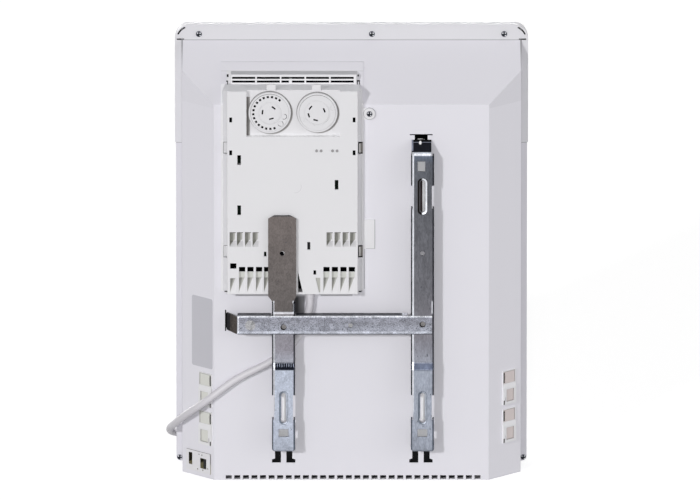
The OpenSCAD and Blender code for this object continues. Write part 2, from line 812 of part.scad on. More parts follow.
module hood_screws() {
    color("dimgray") in_place() for (x = hood_screws_x)
        pan_screw(x, -rim_d, hood_screw_z, screw_head_r, screw_l);
}

module side_screws() {
    color("dimgray") in_place() for (s = [-1, 1])
        pan_screw(s * side_screw_x, -rim_d, side_screw_z, side_head_r, screw_l);
}

/* Control parts behind the housing */
pot_w = 22;
pot_d = 9;
pot_back = housing_out - recess_d - housing_wall - touch;
board_z0 = ledge_z - 172;
board_h = 101;
board_w = housing_w - 24;
relay = [34, 24, 28];
relay_at = [30, 12];
transformer = [28, 15, 19];
transformer_at = [-30, 14];
film_cap = [20, 12, 26];
film_cap_at = [-28, 52];
can_r = 5;
can_h = 16;
can_at = [[6, 62], [20, 62]];

// Block on the board's front side, placed from the board's middle and its lower edge
module on_board(place, size) {
    box_at(housing_x + place[0], board_top - board_t + eps, board_z0 + place[1], size[0], size[1], size[2]);
}

module circuit_board() {
    color("darkgreen") in_place() {
        box_at(housing_x, board_top, board_z0, board_w, board_t, board_h);
        on_board(relay_at, relay);
        on_board(transformer_at, transformer);
        on_board(film_cap_at, film_cap);
        for (p = can_at) pin_y(housing_x + p[0], board_top - board_t + eps, board_z0 + p[1], can_r, can_h);
    }
}

// Rotary body round a hollow spindle, with its terminals
module rotary_body(x) {
    difference() {
        box_at(x, pot_back, dial_z - pot_w / 2, pot_w, pot_d, pot_w);
        pin_y(x, pot_back + 1, dial_z, spindle_r + running_gap, pot_d + 2);
    }
    for (i = [-1:1]) box_at(x + i * 5, pot_back - pot_d / 2, dial_z - pot_w / 2 - 6, 1.4, 0.6, 6 + eps);
}

module thermostat_pot() {
    color("royalblue") in_place() rotary_body(temp_x);
}

module mode_switch() {
    color("black") in_place() rotary_body(mode_x);
}

spindle_end = body_d - fascia_in + 1;
claw_w = 1.5;
claw_l = 4.6;
dial_cut = 2.6;
groove_w = 0.5;
groove_d = 0.5;
mark_r = 2.6;
step_w = 2.1;
step_h = 0.9;
socket_r = 2.5;

// Circular groove of radius r in a dial's face, y0 at the face
module face_groove(x, z, r, y0) {
    translate([x, y0 + 1, z]) rotate([90, 0, 0]) difference() {
        cylinder(h = groove_d + 1, r = r + groove_w / 2);
        translate([0, 0, -1]) cylinder(h = groove_d + 3, r = r - groove_w / 2);
    }
}

// Rear disc on its hollow spindle, with the claw slots that hold the knob's tube, as [angle, radius],
// a circular groove, and round marks as [x, z]
module dial(r, claws, groove_r, marks) {
    face = dial_face + dial_t;
    difference() {
        union() {
            rotate([90, 0, 0]) translate([0, 0, -face]) rotate_extrude()
                polygon([[0, 0], [r - step_w - 0.3, 0], [r - step_w, 0.3], [r - step_w, step_h],
                    [r - 0.3, step_h], [r, step_h + 0.3], [r, dial_t], [0, dial_t]]);
            rotate([90, 0, 0]) translate([0, 0, -dial_face - eps])
                cylinder(h = spindle_end + dial_face, r = spindle_r);
        }
        for (c = claws) rotate([0, -c[0], 0]) translate([c[1] - claw_w / 2, face - dial_cut, -claw_l / 2])
            cube([claw_w, dial_cut + 1, claw_l]);
        rotate([90, 0, 0]) translate([0, 0, spindle_end - 20]) cylinder(h = 21, r = socket_r);
        face_groove(0, 0, groove_r, face);
        for (m = marks) face_groove(m[0], m[1], mark_r, face);
    }
}

stop_holes = 17;
stop_ring = 16.4;
stop_span = 234.4;
stop_start = 52.6;
stop_hole_w = 2.2;

module temperature_dial() {
    color("white") in_place() translate([temp_x, 0, dial_z]) difference() {
        dial(temp_dial_r, [[127, 6.5], [6.5, 7.2], [254, 6.2]], 10.6, [[-14.4, -3.8], [-10.8, -11]]);
        for (i = [0:stop_holes - 1]) {
            a = 180 - (stop_start + i * stop_span / (stop_holes - 1));
            rotate([0, -a, 0]) translate([stop_ring - stop_hole_w / 2, dial_face + dial_t - dial_cut,
                -stop_hole_w / 2]) cube([stop_hole_w, dial_cut + 1, stop_hole_w]);
        }
    }
}

module mode_dial() {
    color("white") in_place() translate([mode_x, 0, dial_z])
        dial(mode_dial_r, [[38, 8.7], [344, 8.8], [282.5, 7.5], [158.4, 7.5]], 12.6,
            [[15.4, -6.7], [-15.6, 5.4]]);
}

// Front knob: round cap with a raised grip bar and a stub that fits the spindle
module knob() {
    y0 = -spindle_end - touch;
    difference() {
        union() {
            translate([0, y0, 0]) rotate([90, 0, 0]) {
                cylinder(h = knob_h - 3.4, r = knob_r);
                translate([0, 0, knob_h - 3.4 - eps]) rotate_extrude()
                    polygon([[0, 0], [knob_r, 0], [knob_r - 1.4, 1.4], [0, 1.4]]);
            }
            translate([0, y0 - knob_h + 2.2, 0]) rotate([90, 0, 0]) translate([0, 0, -eps]) {
                translate([-2.6, -knob_r + 3, 0]) cube([5.2, 2 * knob_r - 6, 1.9]);
                for (s = [-1, 1]) translate([0, s * (knob_r - 3), 0]) cylinder(h = 1.9, r = 2.6);
            }
            translate([0, y0 + 14, 0]) rotate([90, 0, 0]) cylinder(h = 14 + eps, r = socket_r - 0.1);
        }
        translate([-0.5, y0 - knob_h - 1, knob_r - 9]) cube([1, 2, 7]);
    }
}

module temperature_knob() {
    color("lightgray") in_place() translate([temp_x, 0, dial_z]) knob();
}

module mode_knob() {
    color("lightgray") in_place() translate([mode_x, 0, dial_z]) knob();
}

terminal_up = 40;
terminal_z = housing_z + terminal_up;

module terminal_block() {
    color("ivory") in_place() difference() {
        box_at(gland_x, cavity_out, terminal_z, 26, cavity_out - board_top - touch, 20);
        for (i = [-1:1]) translate([gland_x + i * 8, cavity_out - 4.5, terminal_z - 1])
            cylinder(h = 8, r = 1.6);
    }
}

gland_low = 5;
gland_l = 28;
cord_tip_z = housing_z - gland_low;

// Tapered sleeve of the lead, gripped inside the housing
module cord_gland() {
    color("whitesmoke") in_place() translate([gland_x, gland_h, cord_tip_z]) rotate_extrude()
        polygon([[0, 0], [cord_d / 2 + 0.7, 0], [gland_r, gland_low + 4], [gland_r, gland_l], [0, gland_l]]);
}

module cord_clamp() {
    z = housing_z + 12;
    color("ivory") in_place() difference() {
        box_at(gland_x, cavity_out, z, 24, cavity_out - gland_h - 1, 8);
        translate([gland_x, gland_h, z - 1]) cylinder(h = 10, r = gland_r);
    }
}

/* Heating parts */
element_y = -36;
support_x = element_l / 2 - 14;
support_d = 28;
support_t = 1.2;
baffle_y = -12;
baffle_top = housing_z - 22;

module heating_element() {
    pitch = (2 * support_x - 24) / (fin_count - 1);
    color("silver") in_place() {
        translate([-element_l / 2, element_y, element_z]) rotate([0, 90, 0])
            cylinder(h = element_l, r = element_r);
        for (i = [0:fin_count - 1]) translate([-support_x + 12 + i * pitch - 0.4, element_y - fin_d / 2,
            element_z - fin_h / 2]) cube([0.8, fin_d, fin_h]);
    }
}

module element_supports() {
    color("silver") in_place() for (s = [-1, 1]) {
        difference() {
            box_at(s * support_x, element_y + support_d / 2, sheet, support_t, support_d,
                element_z + support_d / 2);
            translate([s * support_x - 5, element_y, element_z]) rotate([0, 90, 0])
                cylinder(h = 10, r = element_r + fit / 2);
        }
        box_at(s * (support_x - 6), element_y + support_d / 2, sheet, 12, support_d, support_t);
    }
}

module thermal_cutout() {
    x = support_x - support_t / 2;
    z = element_z + fin_h / 2 + 7;
    color("darkslategray") in_place() {
        translate([x - 8, element_y, z + 1]) cylinder(h = 5, r = 7);
        translate([x - 8, element_y, z + 6 - eps]) cylinder(h = 3, r = 4);
        box_at(x - 0.5, element_y + 3, element_z + 8, 1, 6, z - element_z - 7);
        box_at(x - 7.5, element_y + 3, z, 15, 6, 1 + eps);
    }
}

module heat_baffle() {
    color("silver") in_place() {
        box_at(0, baffle_y, sheet, 2 * support_x - 30, sheet, baffle_top - sheet);
        box_at(0, baffle_y + 4, sheet, 2 * support_x - 30, 4.1, sheet);
        box_at(0, baffle_y + 4, baffle_top - sheet, 2 * support_x - 30, 4.1, sheet);
    }
}

shield_x = housing_x - housing_w / 2 + 2;
shield_z = housing_z - 10;
shield_w = 0.75 * housing_w;

// Wall and floor that keep the warm air out of the control side
module heat_shield() {
    color("silver") in_place() {
        box_at(shield_x, -sheet, shield_z, sheet, body_d - 2 * sheet, seam_z - shield_z - 4);
        box_at(shield_x + shield_w / 2, -sheet - touch, shield_z, shield_w,
            body_d - 2 * sheet - touch - 1, sheet);
    }
}

wire_r = 1.2;

module lead_wires() {
    board_edge = housing_x + board_w / 2 - 1;
    end_x = element_l / 2 + wire_r;
    color("firebrick") in_place() for (i = [0, 1]) tube([
        [board_edge - 12, board_top - board_t - wire_r - 4 * i, board_z0 + 8],
        [board_edge - 6, board_top - board_t - wire_r - 1 - 4 * i, board_z0 + 7],
        [board_edge - 1, board_top - 12 - 5 * i, board_z0 + 4],
        [board_edge + 12, board_top - 24 - 5 * i, board_z0 - 4],
        [end_x + 5 - 5 * i, element_y + 6, shield_z - 12],
        [end_x + 6 - 5 * i, element_y, shield_z - 40],
        [end_x + 6 - 5 * i, element_y, element_z + 22],
        [end_x + 3 - 2 * i, element_y + (i - 0.5) * 3, element_z + 8],
        [end_x + 0.4, element_y + (i - 0.5) * 3, element_z]], 2 * wire_r, 6, [0, 1, 0]);
}

socket_slit = 1.1;
socket_bar = 3.6;

// Plastic insert in a hole of the chamfer: sunk upper pane, a step, a lower frame, and two slits
module foot_socket(u, z) {
    half = socket_h * 0.5;
    translate([u, 0, z]) difference() {
        union() {
            cube([socket_w, socket_t, socket_h]);
            translate([socket_rim + fit, -6, socket_rim + fit])
                cube([socket_w - 2 * socket_rim - 2 * fit, 6 + eps, socket_h - 2 * socket_rim - 2 * fit]);
            cube([socket_w, socket_t + socket_step, half]);
            translate([0, 0, half - eps]) rotate([90, 0, 90]) linear_extrude(socket_w)
                polygon([[0, 0], [socket_t + socket_step, 0], [socket_t, socket_bar], [0, socket_bar]]);
        }
        translate([0.9, socket_t - 0.6, half + socket_bar + 0.8])
            cube([socket_w - 1.8, 2, half - socket_bar - 1.7]);
        translate([4.6, socket_t - 0.2, 3]) cube([socket_w - 7.6, 4, half - 5]);
        translate([socket_rim + 1, -7, half + socket_bar + 2]) cube([socket_slit, 9, half - socket_bar - 6]);
        translate([socket_rim + 1, -7, 3]) cube([socket_slit, 10, 5]);
    }
}

module foot_sockets(i) {
    color("white") in_place() on_facet(i == 0 ? 1 : -1) {
        foot_socket(socket_u[i], socket_low_z);
        foot_socket(socket_u[i], socket_high_z);
    }
}

module foot_sockets_left() {
    foot_sockets(0);
}

module foot_sockets_right() {
    foot_sockets(1);
}

// Clip plate with a bridge between two openings, over the room sensor
module sensor_holder() {
    color("white") in_place() on_facet(1) translate([sensor_u, 0, sensor_z]) difference() {
        union() {
            cube([sensor_w, 1, sensor_h]);
            translate([socket_rim + fit, -5, socket_rim + fit])
                cube([sensor_w - 2 * socket_rim - 2 * fit, 5 + eps, sensor_h - 2 * socket_rim - 2 * fit]);
        }
        translate([5.6, -4, 4.4]) cube([8.6, 6, 10.6]);
        translate([25.6, -4, 6]) cube([5, 6, 12.4]);
        for (p = [[11.9, 18.2], [10.6, 2.8], [18, 2.8], [16, 18.2], [3.6, 5.4]])
            translate([p[0], 2, p[1]]) rotate([90, 0, 0]) cylinder(h = 3, r = 0.7);
    }
}

module room_sensor() {
    color("black") in_place() on_facet(1)
        translate([sensor_u + 10, -2.1, sensor_z + 4.4]) cylinder(h = 9.5, r = 1.8);
}

/* Wall bracket: webs towards the wall, flanges towards the heater */
web_low = stand_off;
web_high = stand_off - bracket_t;
joggle_gap = 29;
joggle_h = 7.5;
joggle_z = bar_z - bar_w / 2 - joggle_gap - joggle_h;
notch_low = [upright_z + 33, upright_z + 58.6];
notch_high = [upright_top - 57.2, upright_top - 33.5];
flange_y = stand_off - flange_d;

// Channel in plan: web at y = h, flanges down to the flange line
module channel_plan(w, h) {
    r = bend_r;
    difference() {
        union() {
            translate([-w / 2, flange_y]) square([w, h - r - flange_y]);
            translate([-w / 2 + r, h - r - eps]) square([w - 2 * r, r + eps]);
            for (s = [-1, 1]) translate([s * (w / 2 - r), h - r]) circle(r);
        }
        translate([-w / 2 + bracket_t, flange_y - 1])
            square([w - 2 * bracket_t, h - flange_y + 1 - bracket_t]);
    }
}

module channel(x, h, z0, z1) {
    translate([x, 0, z0]) linear_extrude(z1 - z0) channel_plan(channel_w, h);
}

// Cuts the flanges off between two heights, up to the bend
module flange_notch(x, z) {
    for (s = [-1, 1]) translate([x + s * channel_w / 2 - bend_r, flange_y - 1, z[0]])
        cube([2 * bend_r, flange_d + 2, z[1] - z[0]]);
}

press_w = 1.9;
press_d = 1;

// Pressed rim of a slot: its slope in the face at y = h, wider by press_w there
module slot_slope(x, z0, z1, r, h) {
    translate([x, h + eps, 0]) {
        for (z = [z0, z1]) translate([0, 0, z]) rotate([90, 0, 0])
            cylinder(h = press_d + eps, r1 = r + press_w, r2 = r);
        translate([0, 0, z0]) linear_extrude(z1 - z0)
            polygon([[-r - press_w, 0], [r + press_w, 0], [r, -press_d - eps], [-r, -press_d - eps]]);
    }
}

// Wall of the same rim on the heater's side of the web whose face is at y = h
module slot_back(x, z0, z1, r, h) {
    back_r = r + lip_w;
    for (z = [z0, z1]) pin_y(x, h - bracket_t + eps, z, back_r, lip_h);
    box_at(x, h - bracket_t + eps, z0, 2 * back_r, lip_h, z1 - z0);
}

module slot_through(x, z0, z1, r) {
    for (z = [z0, z1]) pin_y(x, stand_off + 1, z, r, flange_d);
    box_at(x, stand_off + 1, z0, 2 * r, flange_d, z1 - z0);
}

keyhole_z = upright_z + 32.9;
keyhole_top = keyhole_z + 25.5;
lip_h = 1;
lip_w = 1.6;
square_hole_z = upright_z + 15.6;
square_hole = [10, 8];
hook_l = 3.4;

// Lower part of an upright: its joggle and its end plate
module upright_foot(x) {
    channel(x, web_low, upright_z + bend_r, joggle_z);
    along_x(channel_w, x) polygon([[web_low, joggle_z - eps], [web_high, joggle_z + joggle_h],
        [web_high - bracket_t, joggle_z + joggle_h], [web_low - bracket_t, joggle_z - eps]]);
    for (s = [-1, 1])
        translate([x + s * (channel_w - bracket_t) / 2 - bracket_t / 2, flange_y, joggle_z - eps])
            cube([bracket_t, web_high - bend_r - flange_y, joggle_h + 2 * eps]);
    intersection() {
        along_x(channel_w, x) foot_profile();
        along_y(stand_off + 1, stand_off + 10) translate([x, upright_z]) foot_outline();
    }
    slot_back(x, keyhole_z, keyhole_top, keyhole_slot_r, web_low);
}

// Flange notches, keyhole and square hole near the lower end
module foot_cuts(x) {
    flange_notch(x, notch_low);
    slot_through(x, keyhole_z, keyhole_top, keyhole_slot_r);
    slot_slope(x, keyhole_z, keyhole_top, keyhole_slot_r, web_low);
    pin_y(x, stand_off + 1, keyhole_z, keyhole_r, flange_d);
    box_at(x, stand_off + 1, square_hole_z, square_hole[0], flange_d, square_hole[1]);
}

// The two hooks that reach through the rear shell
module foot_hooks(x) {
    for (s = [-1, 1]) box_at(x + s * (hook_gap / 2 + slot_stem_w / 2), touch + eps, upright_z, hook_w,
        touch + sheet + hook_l, bracket_t);
}

module foot_profile() {
    r = bend_r + 1;
    difference() {
        union() {
            translate([touch, upright_z]) square([stand_off - r - touch, bracket_t]);
            translate([stand_off - bracket_t, upright_z + r]) square([bracket_t, 4]);
            intersection() {
                translate([stand_off - r, upright_z + r]) circle(r);
                translate([stand_off - r - eps, upright_z]) square([r + eps, r + eps]);
            }
        }
        translate([stand_off - r, upright_z + r]) circle(r - bracket_t);
    }
}

module foot_outline() {
    w = channel_w;
    r = 4;
    translate([-w / 2 + r, 0]) square([w - 2 * r, 12]);
    translate([-w / 2, r]) square([w, 12 - r]);
    for (s = [-1, 1]) translate([s * (w / 2 - r), r]) circle(r);
}

neck_w = 18;
tongue_x = left_upright_x + 1.3;

module left_upright() {
    x = left_upright_x;
    neck_z = bar_z + bar_w / 2 + 4;
    color("lightsteelblue") in_place() {
        foot_hooks(hooks_x[0]);
        difference() {
            union() {
                upright_foot(x);
                channel(x, web_high, joggle_z + joggle_h, neck_z + 8);
            }
            box_at(x, web_high + 1, neck_z, channel_w + 2, 1 + bracket_t, 9);
            foot_cuts(x);
            rivet_bore(rivets[0]);
        }
        difference() {
            along_y(web_high, bracket_t) tongue_outline(neck_z);
            pin_y(tongue_x, stand_off, gauge_z, screw_hole_r, flange_d);
        }
    }
}

// Flat tongue: narrow neck, round shoulders, wide blade with a chamfered top
module tongue_outline(z0) {
    x = left_upright_x;
    chamfer = 6;
    translate([x - neck_w / 2, z0 - eps]) square([neck_w, tongue_z - z0 + 12]);
    half = tongue_w / 2;
    left = tongue_x - half;
    right = tongue_x + half;
    polygon([[left, tongue_z], [left, tongue_top - 3.5], [left + chamfer, tongue_top],
        [right - chamfer, tongue_top], [right, tongue_top - 3.5], [right, tongue_z],
        [x + neck_w / 2, tongue_z - 8], [x - neck_w / 2, tongue_z - 8]]);
}

long_slot = [upright_top - 58.5, upright_top - 30.5];
square_top_z = upright_top - 18.8;
square_top = [7.6, 10.4];
long_slot_r = 2.5;
square_top_shift = 1.2;

module right_upright() {
    x = right_upright_x;
    r = 3;
    color("lightsteelblue") in_place() {
        foot_hooks(hooks_x[1]);
        difference() {
            union() {
                upright_foot(x);
                channel(x, web_high, joggle_z + joggle_h, upright_top - r);
                along_x(channel_w - 1.5 * bend_r, x + 0.5 * bend_r) top_bend(r);
                slot_back(x, long_slot[0], long_slot[1], long_slot_r, web_high);
            }
            foot_cuts(x);
            flange_notch(x, notch_high);
            rivet_bore(rivets[1]);
            slot_through(x, long_slot[0], long_slot[1], long_slot_r);
            slot_slope(x, long_slot[0], long_slot[1], long_slot_r, web_high);
            box_at(x + square_top_shift, stand_off + 1, square_top_z, square_top[0], flange_d, square_top[1]);
            pin_y(x, stand_off + 1, gauge_z, screw_hole_r, flange_d);
        }
        box_at(x + upright_shift, 1.6 + eps, t_slot_z + 0.8, t_slot_stem - 6, 1.6 + sheet + 3, bracket_t);
    }
}

// Side view of the inclined upper end, from the web down to the plate
module top_bend(r) {
    end_z = t_slot_z + 0.8 + bracket_t;
    end_y = 1.6;
    polygon([[web_high - bracket_t, upright_top - r - eps], [web_high, upright_top - r - eps],
        [web_high, upright_top - 1], [web_high - 0.9, upright_top], [end_y, end_z],
        [end_y, end_z - bracket_t], [web_high - bracket_t - 0.6, upright_top - bracket_t]]);
}

rivet_r = 2.1;
rivets = [[left_upright_x, bar_z - 2], [right_upright_x, bar_z + 0.9]];

module rivet_bore(p) {
    pin_y(p[0], stand_off + 1, p[1], rivet_r, 2 * flange_d);
}

bar_left = 114;
bar_right = right_upright_x - 9.5;
bar_bend_r = 3;

module bar_profile() {
    r = bend_r;
    z0 = bar_z - bar_w / 2;
    difference() {
        union() {
            translate([flange_y, z0]) square([stand_off - r - flange_y, bar_w]);
            translate([stand_off - r - eps, z0 + r]) square([r + eps, bar_w - 2 * r]);
            for (z = [z0 + r, z0 + bar_w - r]) translate([stand_off - r, z]) circle(r);
        }
        translate([flange_y - 1, z0 + bracket_t]) square([flange_d + 1 - bracket_t, bar_w - 2 * bracket_t]);
    }
}

// Cross bar over both uprights, with its inclined end that hooks into the side slot
module cross_bar() {
    w = channel_w + 2;
    z0 = bar_z - bar_w / 2;
    end_x = bar_slot_x + 3.2;
    flange_right = right_upright_x + w / 2 + 2.5;
    color("lightsteelblue") in_place() difference() {
        union() {
            along_x(bar_left - bar_right, (bar_left + bar_right) / 2) bar_profile();
            translate([0, 0, z0 + 1]) linear_extrude(bar_w - 2)
                polygon([[bar_left - eps, stand_off], [bar_left + 1.4, stand_off - 0.6],
                    [end_x, 2.2], [end_x, 1.2], [end_x - 1.3, 1.2], [bar_left - eps, stand_off - bracket_t]]);
            box_at(end_x - 0.65, 1.2 + eps, bar_z - 5, 1.3, 1.2 + sheet + 3, 10);
        }
        for (x = [left_upright_x])
            box_at(x, stand_off - bracket_t, z0 - 1, w, flange_d + 1, bar_w + 2);
        translate([bar_right - 1, flange_y - 1, z0 - 1])
            cube([flange_right - bar_right + 1, flange_d + 1 - bracket_t, bar_w + 2]);
        for (p = rivets) {
            rivet_bore(p);
            translate([p[0], stand_off + eps, p[1]]) rotate([90, 0, 0])
                rotate_extrude() polygon([[0, 0], [rivet_r + 1.2, 0], [rivet_r, 1.2], [0, 1.2]]);
        }
        pin_y(1, stand_off + 1, bar_z, screw_hole_r, flange_d);
    }
}

module bracket_rivets() {
    back = stand_off - 0.3 - web_high + bracket_t;
    color("gray") in_place() for (p = rivets) translate([p[0], stand_off - 0.3, p[1]]) rotate([90, 0, 0])
        difference() {
            rotate_extrude() polygon([[0, 0], [rivet_r + 0.8, 0], [rivet_r - 0.05, 0.9],
                [rivet_r - 0.05, back + eps], [rivet_r + 1.4, back + eps],
                [rivet_r + 0.8, back + 1.3], [0, back + 1.3]]);
            translate([0, 0, -1]) cylinder(h = 1.8, r = 1.2);
        }
}

/* Mains lead: points chosen by hand in the local frame of the back plate */
lead_route = [
    [41.5, 5.2, 191], [41.5, 5.2, 184], [42.6, 4.5, 176.5], [45.6, 4.1, 166], [51, 4, 154],
    [59, 4, 142], [68.5, 4, 132.5], [79.5, 4, 124.5], [92, 4, 117.5], [105.5, 4, 110.8],
    [118, 4.2, 103.6], [130, 4.9, 95], [141, 4.8, 86.5], [151, 1.2, 78.2], [160.5, -6.5, 69.8],
    [169, -17, 61], [175.6, -29.5, 52.2], [180, -43, 44.8], [182.1, -56.5, 38.8], [182.2, -69.5, 33.4],
    [179.6, -82, 28.4], [175, -94, 24], [168.5, -105, 17.8], [162.5, -115, 11.4], [159, -125, 6.2],
    [158, -133, 3.9], [158, -140, 3.9]];
coil_x = 112;
coil_y = -147;
coil_z = 3.9;
coil_steps = 24;
coil_sides = 6;
cord_sides = 8;

function unit(v) = v / norm(v);
function heading(p, i) = unit(p[min(i + 1, len(p) - 1)] - p[max(i - 1, 0)]);

// One side vector for each point, carried along the route without twist
function carried(p, i, n) = i == len(p) ? [] :
    let (t = heading(p, i), m = unit(n - (n * t) * t)) concat([m], carried(p, i + 1, m));

module tube(p, d, n, first) {
    m = carried(p, 0, first);
    r = d / 2;
    last = (len(p) - 1) * n;
    polyhedron(
        points = [for (i = [0:len(p) - 1], k = [0:n - 1])
            let (a = 360 * (k + 0.5) / n) p[i] + r * (cos(a) * m[i] + sin(a) * cross(heading(p, i), m[i]))],
        faces = concat(
            [[for (k = [0:n - 1]) k]],
            [[for (k = [n - 1:-1:0]) last + k]],
            [for (i = [0:len(p) - 2], k = [0:n - 1])
                let (a = i * n + k, b = i * n + (k + 1) % n) each [[a, a + n, b + n], [a, b + n, b]]]));
}

// Coil of two layers: in at a steady rate, up in the half turn where it reverses, and out again
turns = 2 * coil_turns + 0.25;
function coil_in(t) = t < coil_turns ? t : 2 * coil_turns - t;
function coil_rise(t) = min(1, max(0, (t - coil_turns + 0.25) * 2));
coil_spiral = [for (i = [0:turns * coil_steps]) let (t = i / coil_steps, r = coil_r - coil_step * coil_in(t))
    [coil_x + r * cos(360 * t), coil_y - r * sin(360 * t), coil_z + coil_step * coil_rise(t)]];
coil_end = coil_spiral[len(coil_spiral) - 1];
coil_path = concat([lead_route[len(lead_route) - 1]], coil_spiral, [coil_end - [cord_d, 0, 0]]);

// Least distance between turns that lie beside or on each other, less the tube's own diameter
coil_gap = min([for (i = [0:len(coil_spiral) - 1], j = [i + coil_steps / 2:len(coil_spiral) - 1])
    norm(coil_spiral[i] - coil_spiral[j])]) - cord_d;
echo(coil_gap = coil_gap);

tail_l = 60;
plug_x = coil_end[0] - cord_d - tail_l;
plug_y = coil_end[1];
plug_r = 18.4;
tail_route = [for (x = [0, 7, 15, 23, 30, 37, 45, 53, tail_l])
    let (f = min(1, max(0, (x - 7) / (tail_l - 14))))
    [coil_end[0] - cord_d - x, plug_y, coil_end[2] + (plug_r - coil_end[2]) * (1 - cos(180 * f)) / 2]];

module power_cord() {
    color("ghostwhite") in_place() tube(lead_route, cord_d, cord_sides, [1, 0, 0]);
}

module cord_coil() {
    color("ghostwhite") in_place() tube(coil_path, cord_d, coil_sides, [0, 0, 1]);
}

module cord_tail() {
    color("ghostwhite") in_place() tube(tail_route, cord_d, cord_sides, [0, 0, 1]);
}

// Two-pin earthed plug on its side, with its tapered sleeve towards the lead
module plug() {
    pin_l = 19;
    pin_gap = 19;
    color("ghostwhite") in_place() translate([plug_x, plug_y, plug_r]) rotate([0, -90, 0]) {
        difference() {
            rotate_extrude() polygon([[0, 0], [cord_d / 2 + 1, 0], [7, 26], [11, 34], [16.5, 40],
                [plug_r, 44], [plug_r, 56], [17.6, 57], [0, 57]]);
            for (s = [-1, 1]) translate([s * 17.4 - 2, -4, 44]) cube([4, 8, 14]);
        }
        for (s = [-1, 1]) translate([0, s * pin_gap / 2, 57 - eps]) {
            cylinder(h = pin_l - 1.5, r = 2.4);
            translate([0, 0, pin_l - 1.5 - eps]) cylinder(h = 1.5, r1 = 2.4, r2 = 1.4);
        }
    }
}

front_panel();
top_hood();
outlet_louvre();
air_deflector();
control_fascia();
pilot_lens();
rear_shell();
control_housing();
limit_pins();
circuit_board();
thermostat_pot();
mode_switch();
temperature_dial();
temperature_knob();
mode_dial();
mode_knob();
terminal_block();
cord_clamp();
cord_gland();
lead_wires();
heating_element();
element_supports();
thermal_cutout();
heat_baffle();
heat_shield();
sensor_holder();
room_sensor();
foot_sockets_left();
foot_sockets_right();
hood_screws();
side_screws();
housing_screw();
left_upright();
right_upright();
cross_bar();
bracket_rivets();
power_cord();
cord_coil();
cord_tail();
plug();
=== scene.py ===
import json
import math

import bmesh
import bpy
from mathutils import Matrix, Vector


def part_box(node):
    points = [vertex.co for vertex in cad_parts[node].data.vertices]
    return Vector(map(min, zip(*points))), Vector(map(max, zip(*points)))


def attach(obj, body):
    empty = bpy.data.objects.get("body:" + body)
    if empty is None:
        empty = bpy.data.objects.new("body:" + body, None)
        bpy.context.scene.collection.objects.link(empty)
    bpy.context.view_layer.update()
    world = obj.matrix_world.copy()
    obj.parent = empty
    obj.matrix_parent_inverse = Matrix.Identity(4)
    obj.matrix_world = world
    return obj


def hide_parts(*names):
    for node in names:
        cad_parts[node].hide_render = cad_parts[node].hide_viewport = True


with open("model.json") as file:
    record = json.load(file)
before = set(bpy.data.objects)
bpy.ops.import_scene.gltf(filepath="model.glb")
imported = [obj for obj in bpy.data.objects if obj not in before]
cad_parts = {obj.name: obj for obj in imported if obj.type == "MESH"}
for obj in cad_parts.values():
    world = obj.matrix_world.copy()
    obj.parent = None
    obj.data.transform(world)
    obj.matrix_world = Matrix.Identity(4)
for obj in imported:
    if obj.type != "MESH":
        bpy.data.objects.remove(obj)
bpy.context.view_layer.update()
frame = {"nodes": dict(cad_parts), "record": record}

MM = 0.001
BACK_Y = 29.0  # rear face of the back plate, in millimetres
SHEET_Y = BACK_Y - 0.65  # its inner face
CREASE_X = 137.5  # crease between the back plate and a side facet
FACET_COS, FACET_SIN = 0.7104, 0.7038


def link(name, data):
    """A new object in the scene."""
    obj = bpy.data.objects.new(name, data)
    bpy.context.scene.collection.objects.link(obj)
    return obj


# Camera: behind the heater, a little above it, far away

ELEVATION = math.radians(14.5)
DISTANCE = 24.0
SENSOR = 36.0
IMAGE_WIDTH = 700
PIXELS_PER_METRE = 1000.0
AIM = Vector((0.0015, 0.029, 0.2381))

camera_data = bpy.data.cameras.new("camera")
camera_data.sensor_width = SENSOR
camera_data.lens = SENSOR * DISTANCE * PIXELS_PER_METRE / IMAGE_WIDTH
camera_data.clip_end = 80
camera = link("camera", camera_data)
towards_camera = Vector((0, math.cos(ELEVATION), math.sin(ELEVATION)))
camera.location = AIM + towards_camera * DISTANCE
camera.rotation_mode = "QUATERNION"
camera.rotation_quaternion = (-towards_camera).to_track_quat("-Z", "Y")
bpy.context.scene.camera = camera


# Meshes, in millimetres of the part's frame

def mesh_piece(name, points, faces, material):
    """A flat-shaded piece that rides on the heater."""
    mesh = bpy.data.meshes.new(name)
    mesh.from_pydata([Vector(p) * MM for p in points], [], faces)
    bm = bmesh.new()
    bm.from_mesh(mesh)
    bmesh.ops.recalc_face_normals(bm, faces=bm.faces)
    bm.to_mesh(mesh)
    bm.free()
    mesh.shade_flat()
    mesh.materials.append(material)
    obj = link(name, mesh)
    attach(obj, "heater")
    return obj


def plate_points(outline, origin, u, v, n, thickness):
    """Corners of a plate: its outline on the plane of u and v, and again a thickness along n."""
    low = [origin + u * a + v * b for a, b in outline]
    return low + [p + n * thickness for p in low]


def plate_faces(count, start=0):
    """Faces of such a plate, whose corners begin at a given number."""
    low = list(range(start, start + count))
    high = [i + count for i in low]
    sides = [[low[i], low[(i + 1) % count], high[(i + 1) % count], high[i]] for i in range(count)]
    return [low[::-1], high] + sides


def round_rect(w, h, r, steps=6, cx=0.0, cy=0.0):
    """Outline of a rectangle with round corners, each an arc of the given steps."""
    points = []
    for k, (sx, sy) in enumerate(((1, 1), (-1, 1), (-1, -1), (1, -1))):
        for i in range(steps + 1):
            a = math.pi / 2 * (k + i / steps)
            points.append((cx + sx * (w / 2 - r) + r * math.cos(a), cy + sy * (h / 2 - r) + r * math.sin(a)))
    return points


def soften(obj, width):
    """Rounds the edges of a piece, width in millimetres."""
    edges = obj.modifiers.new("edges", "BEVEL")
    edges.width = width * MM
    edges.segments = 2
    edges.limit_method = "ANGLE"
    edges.angle_limit = math.radians(35)


# Materials

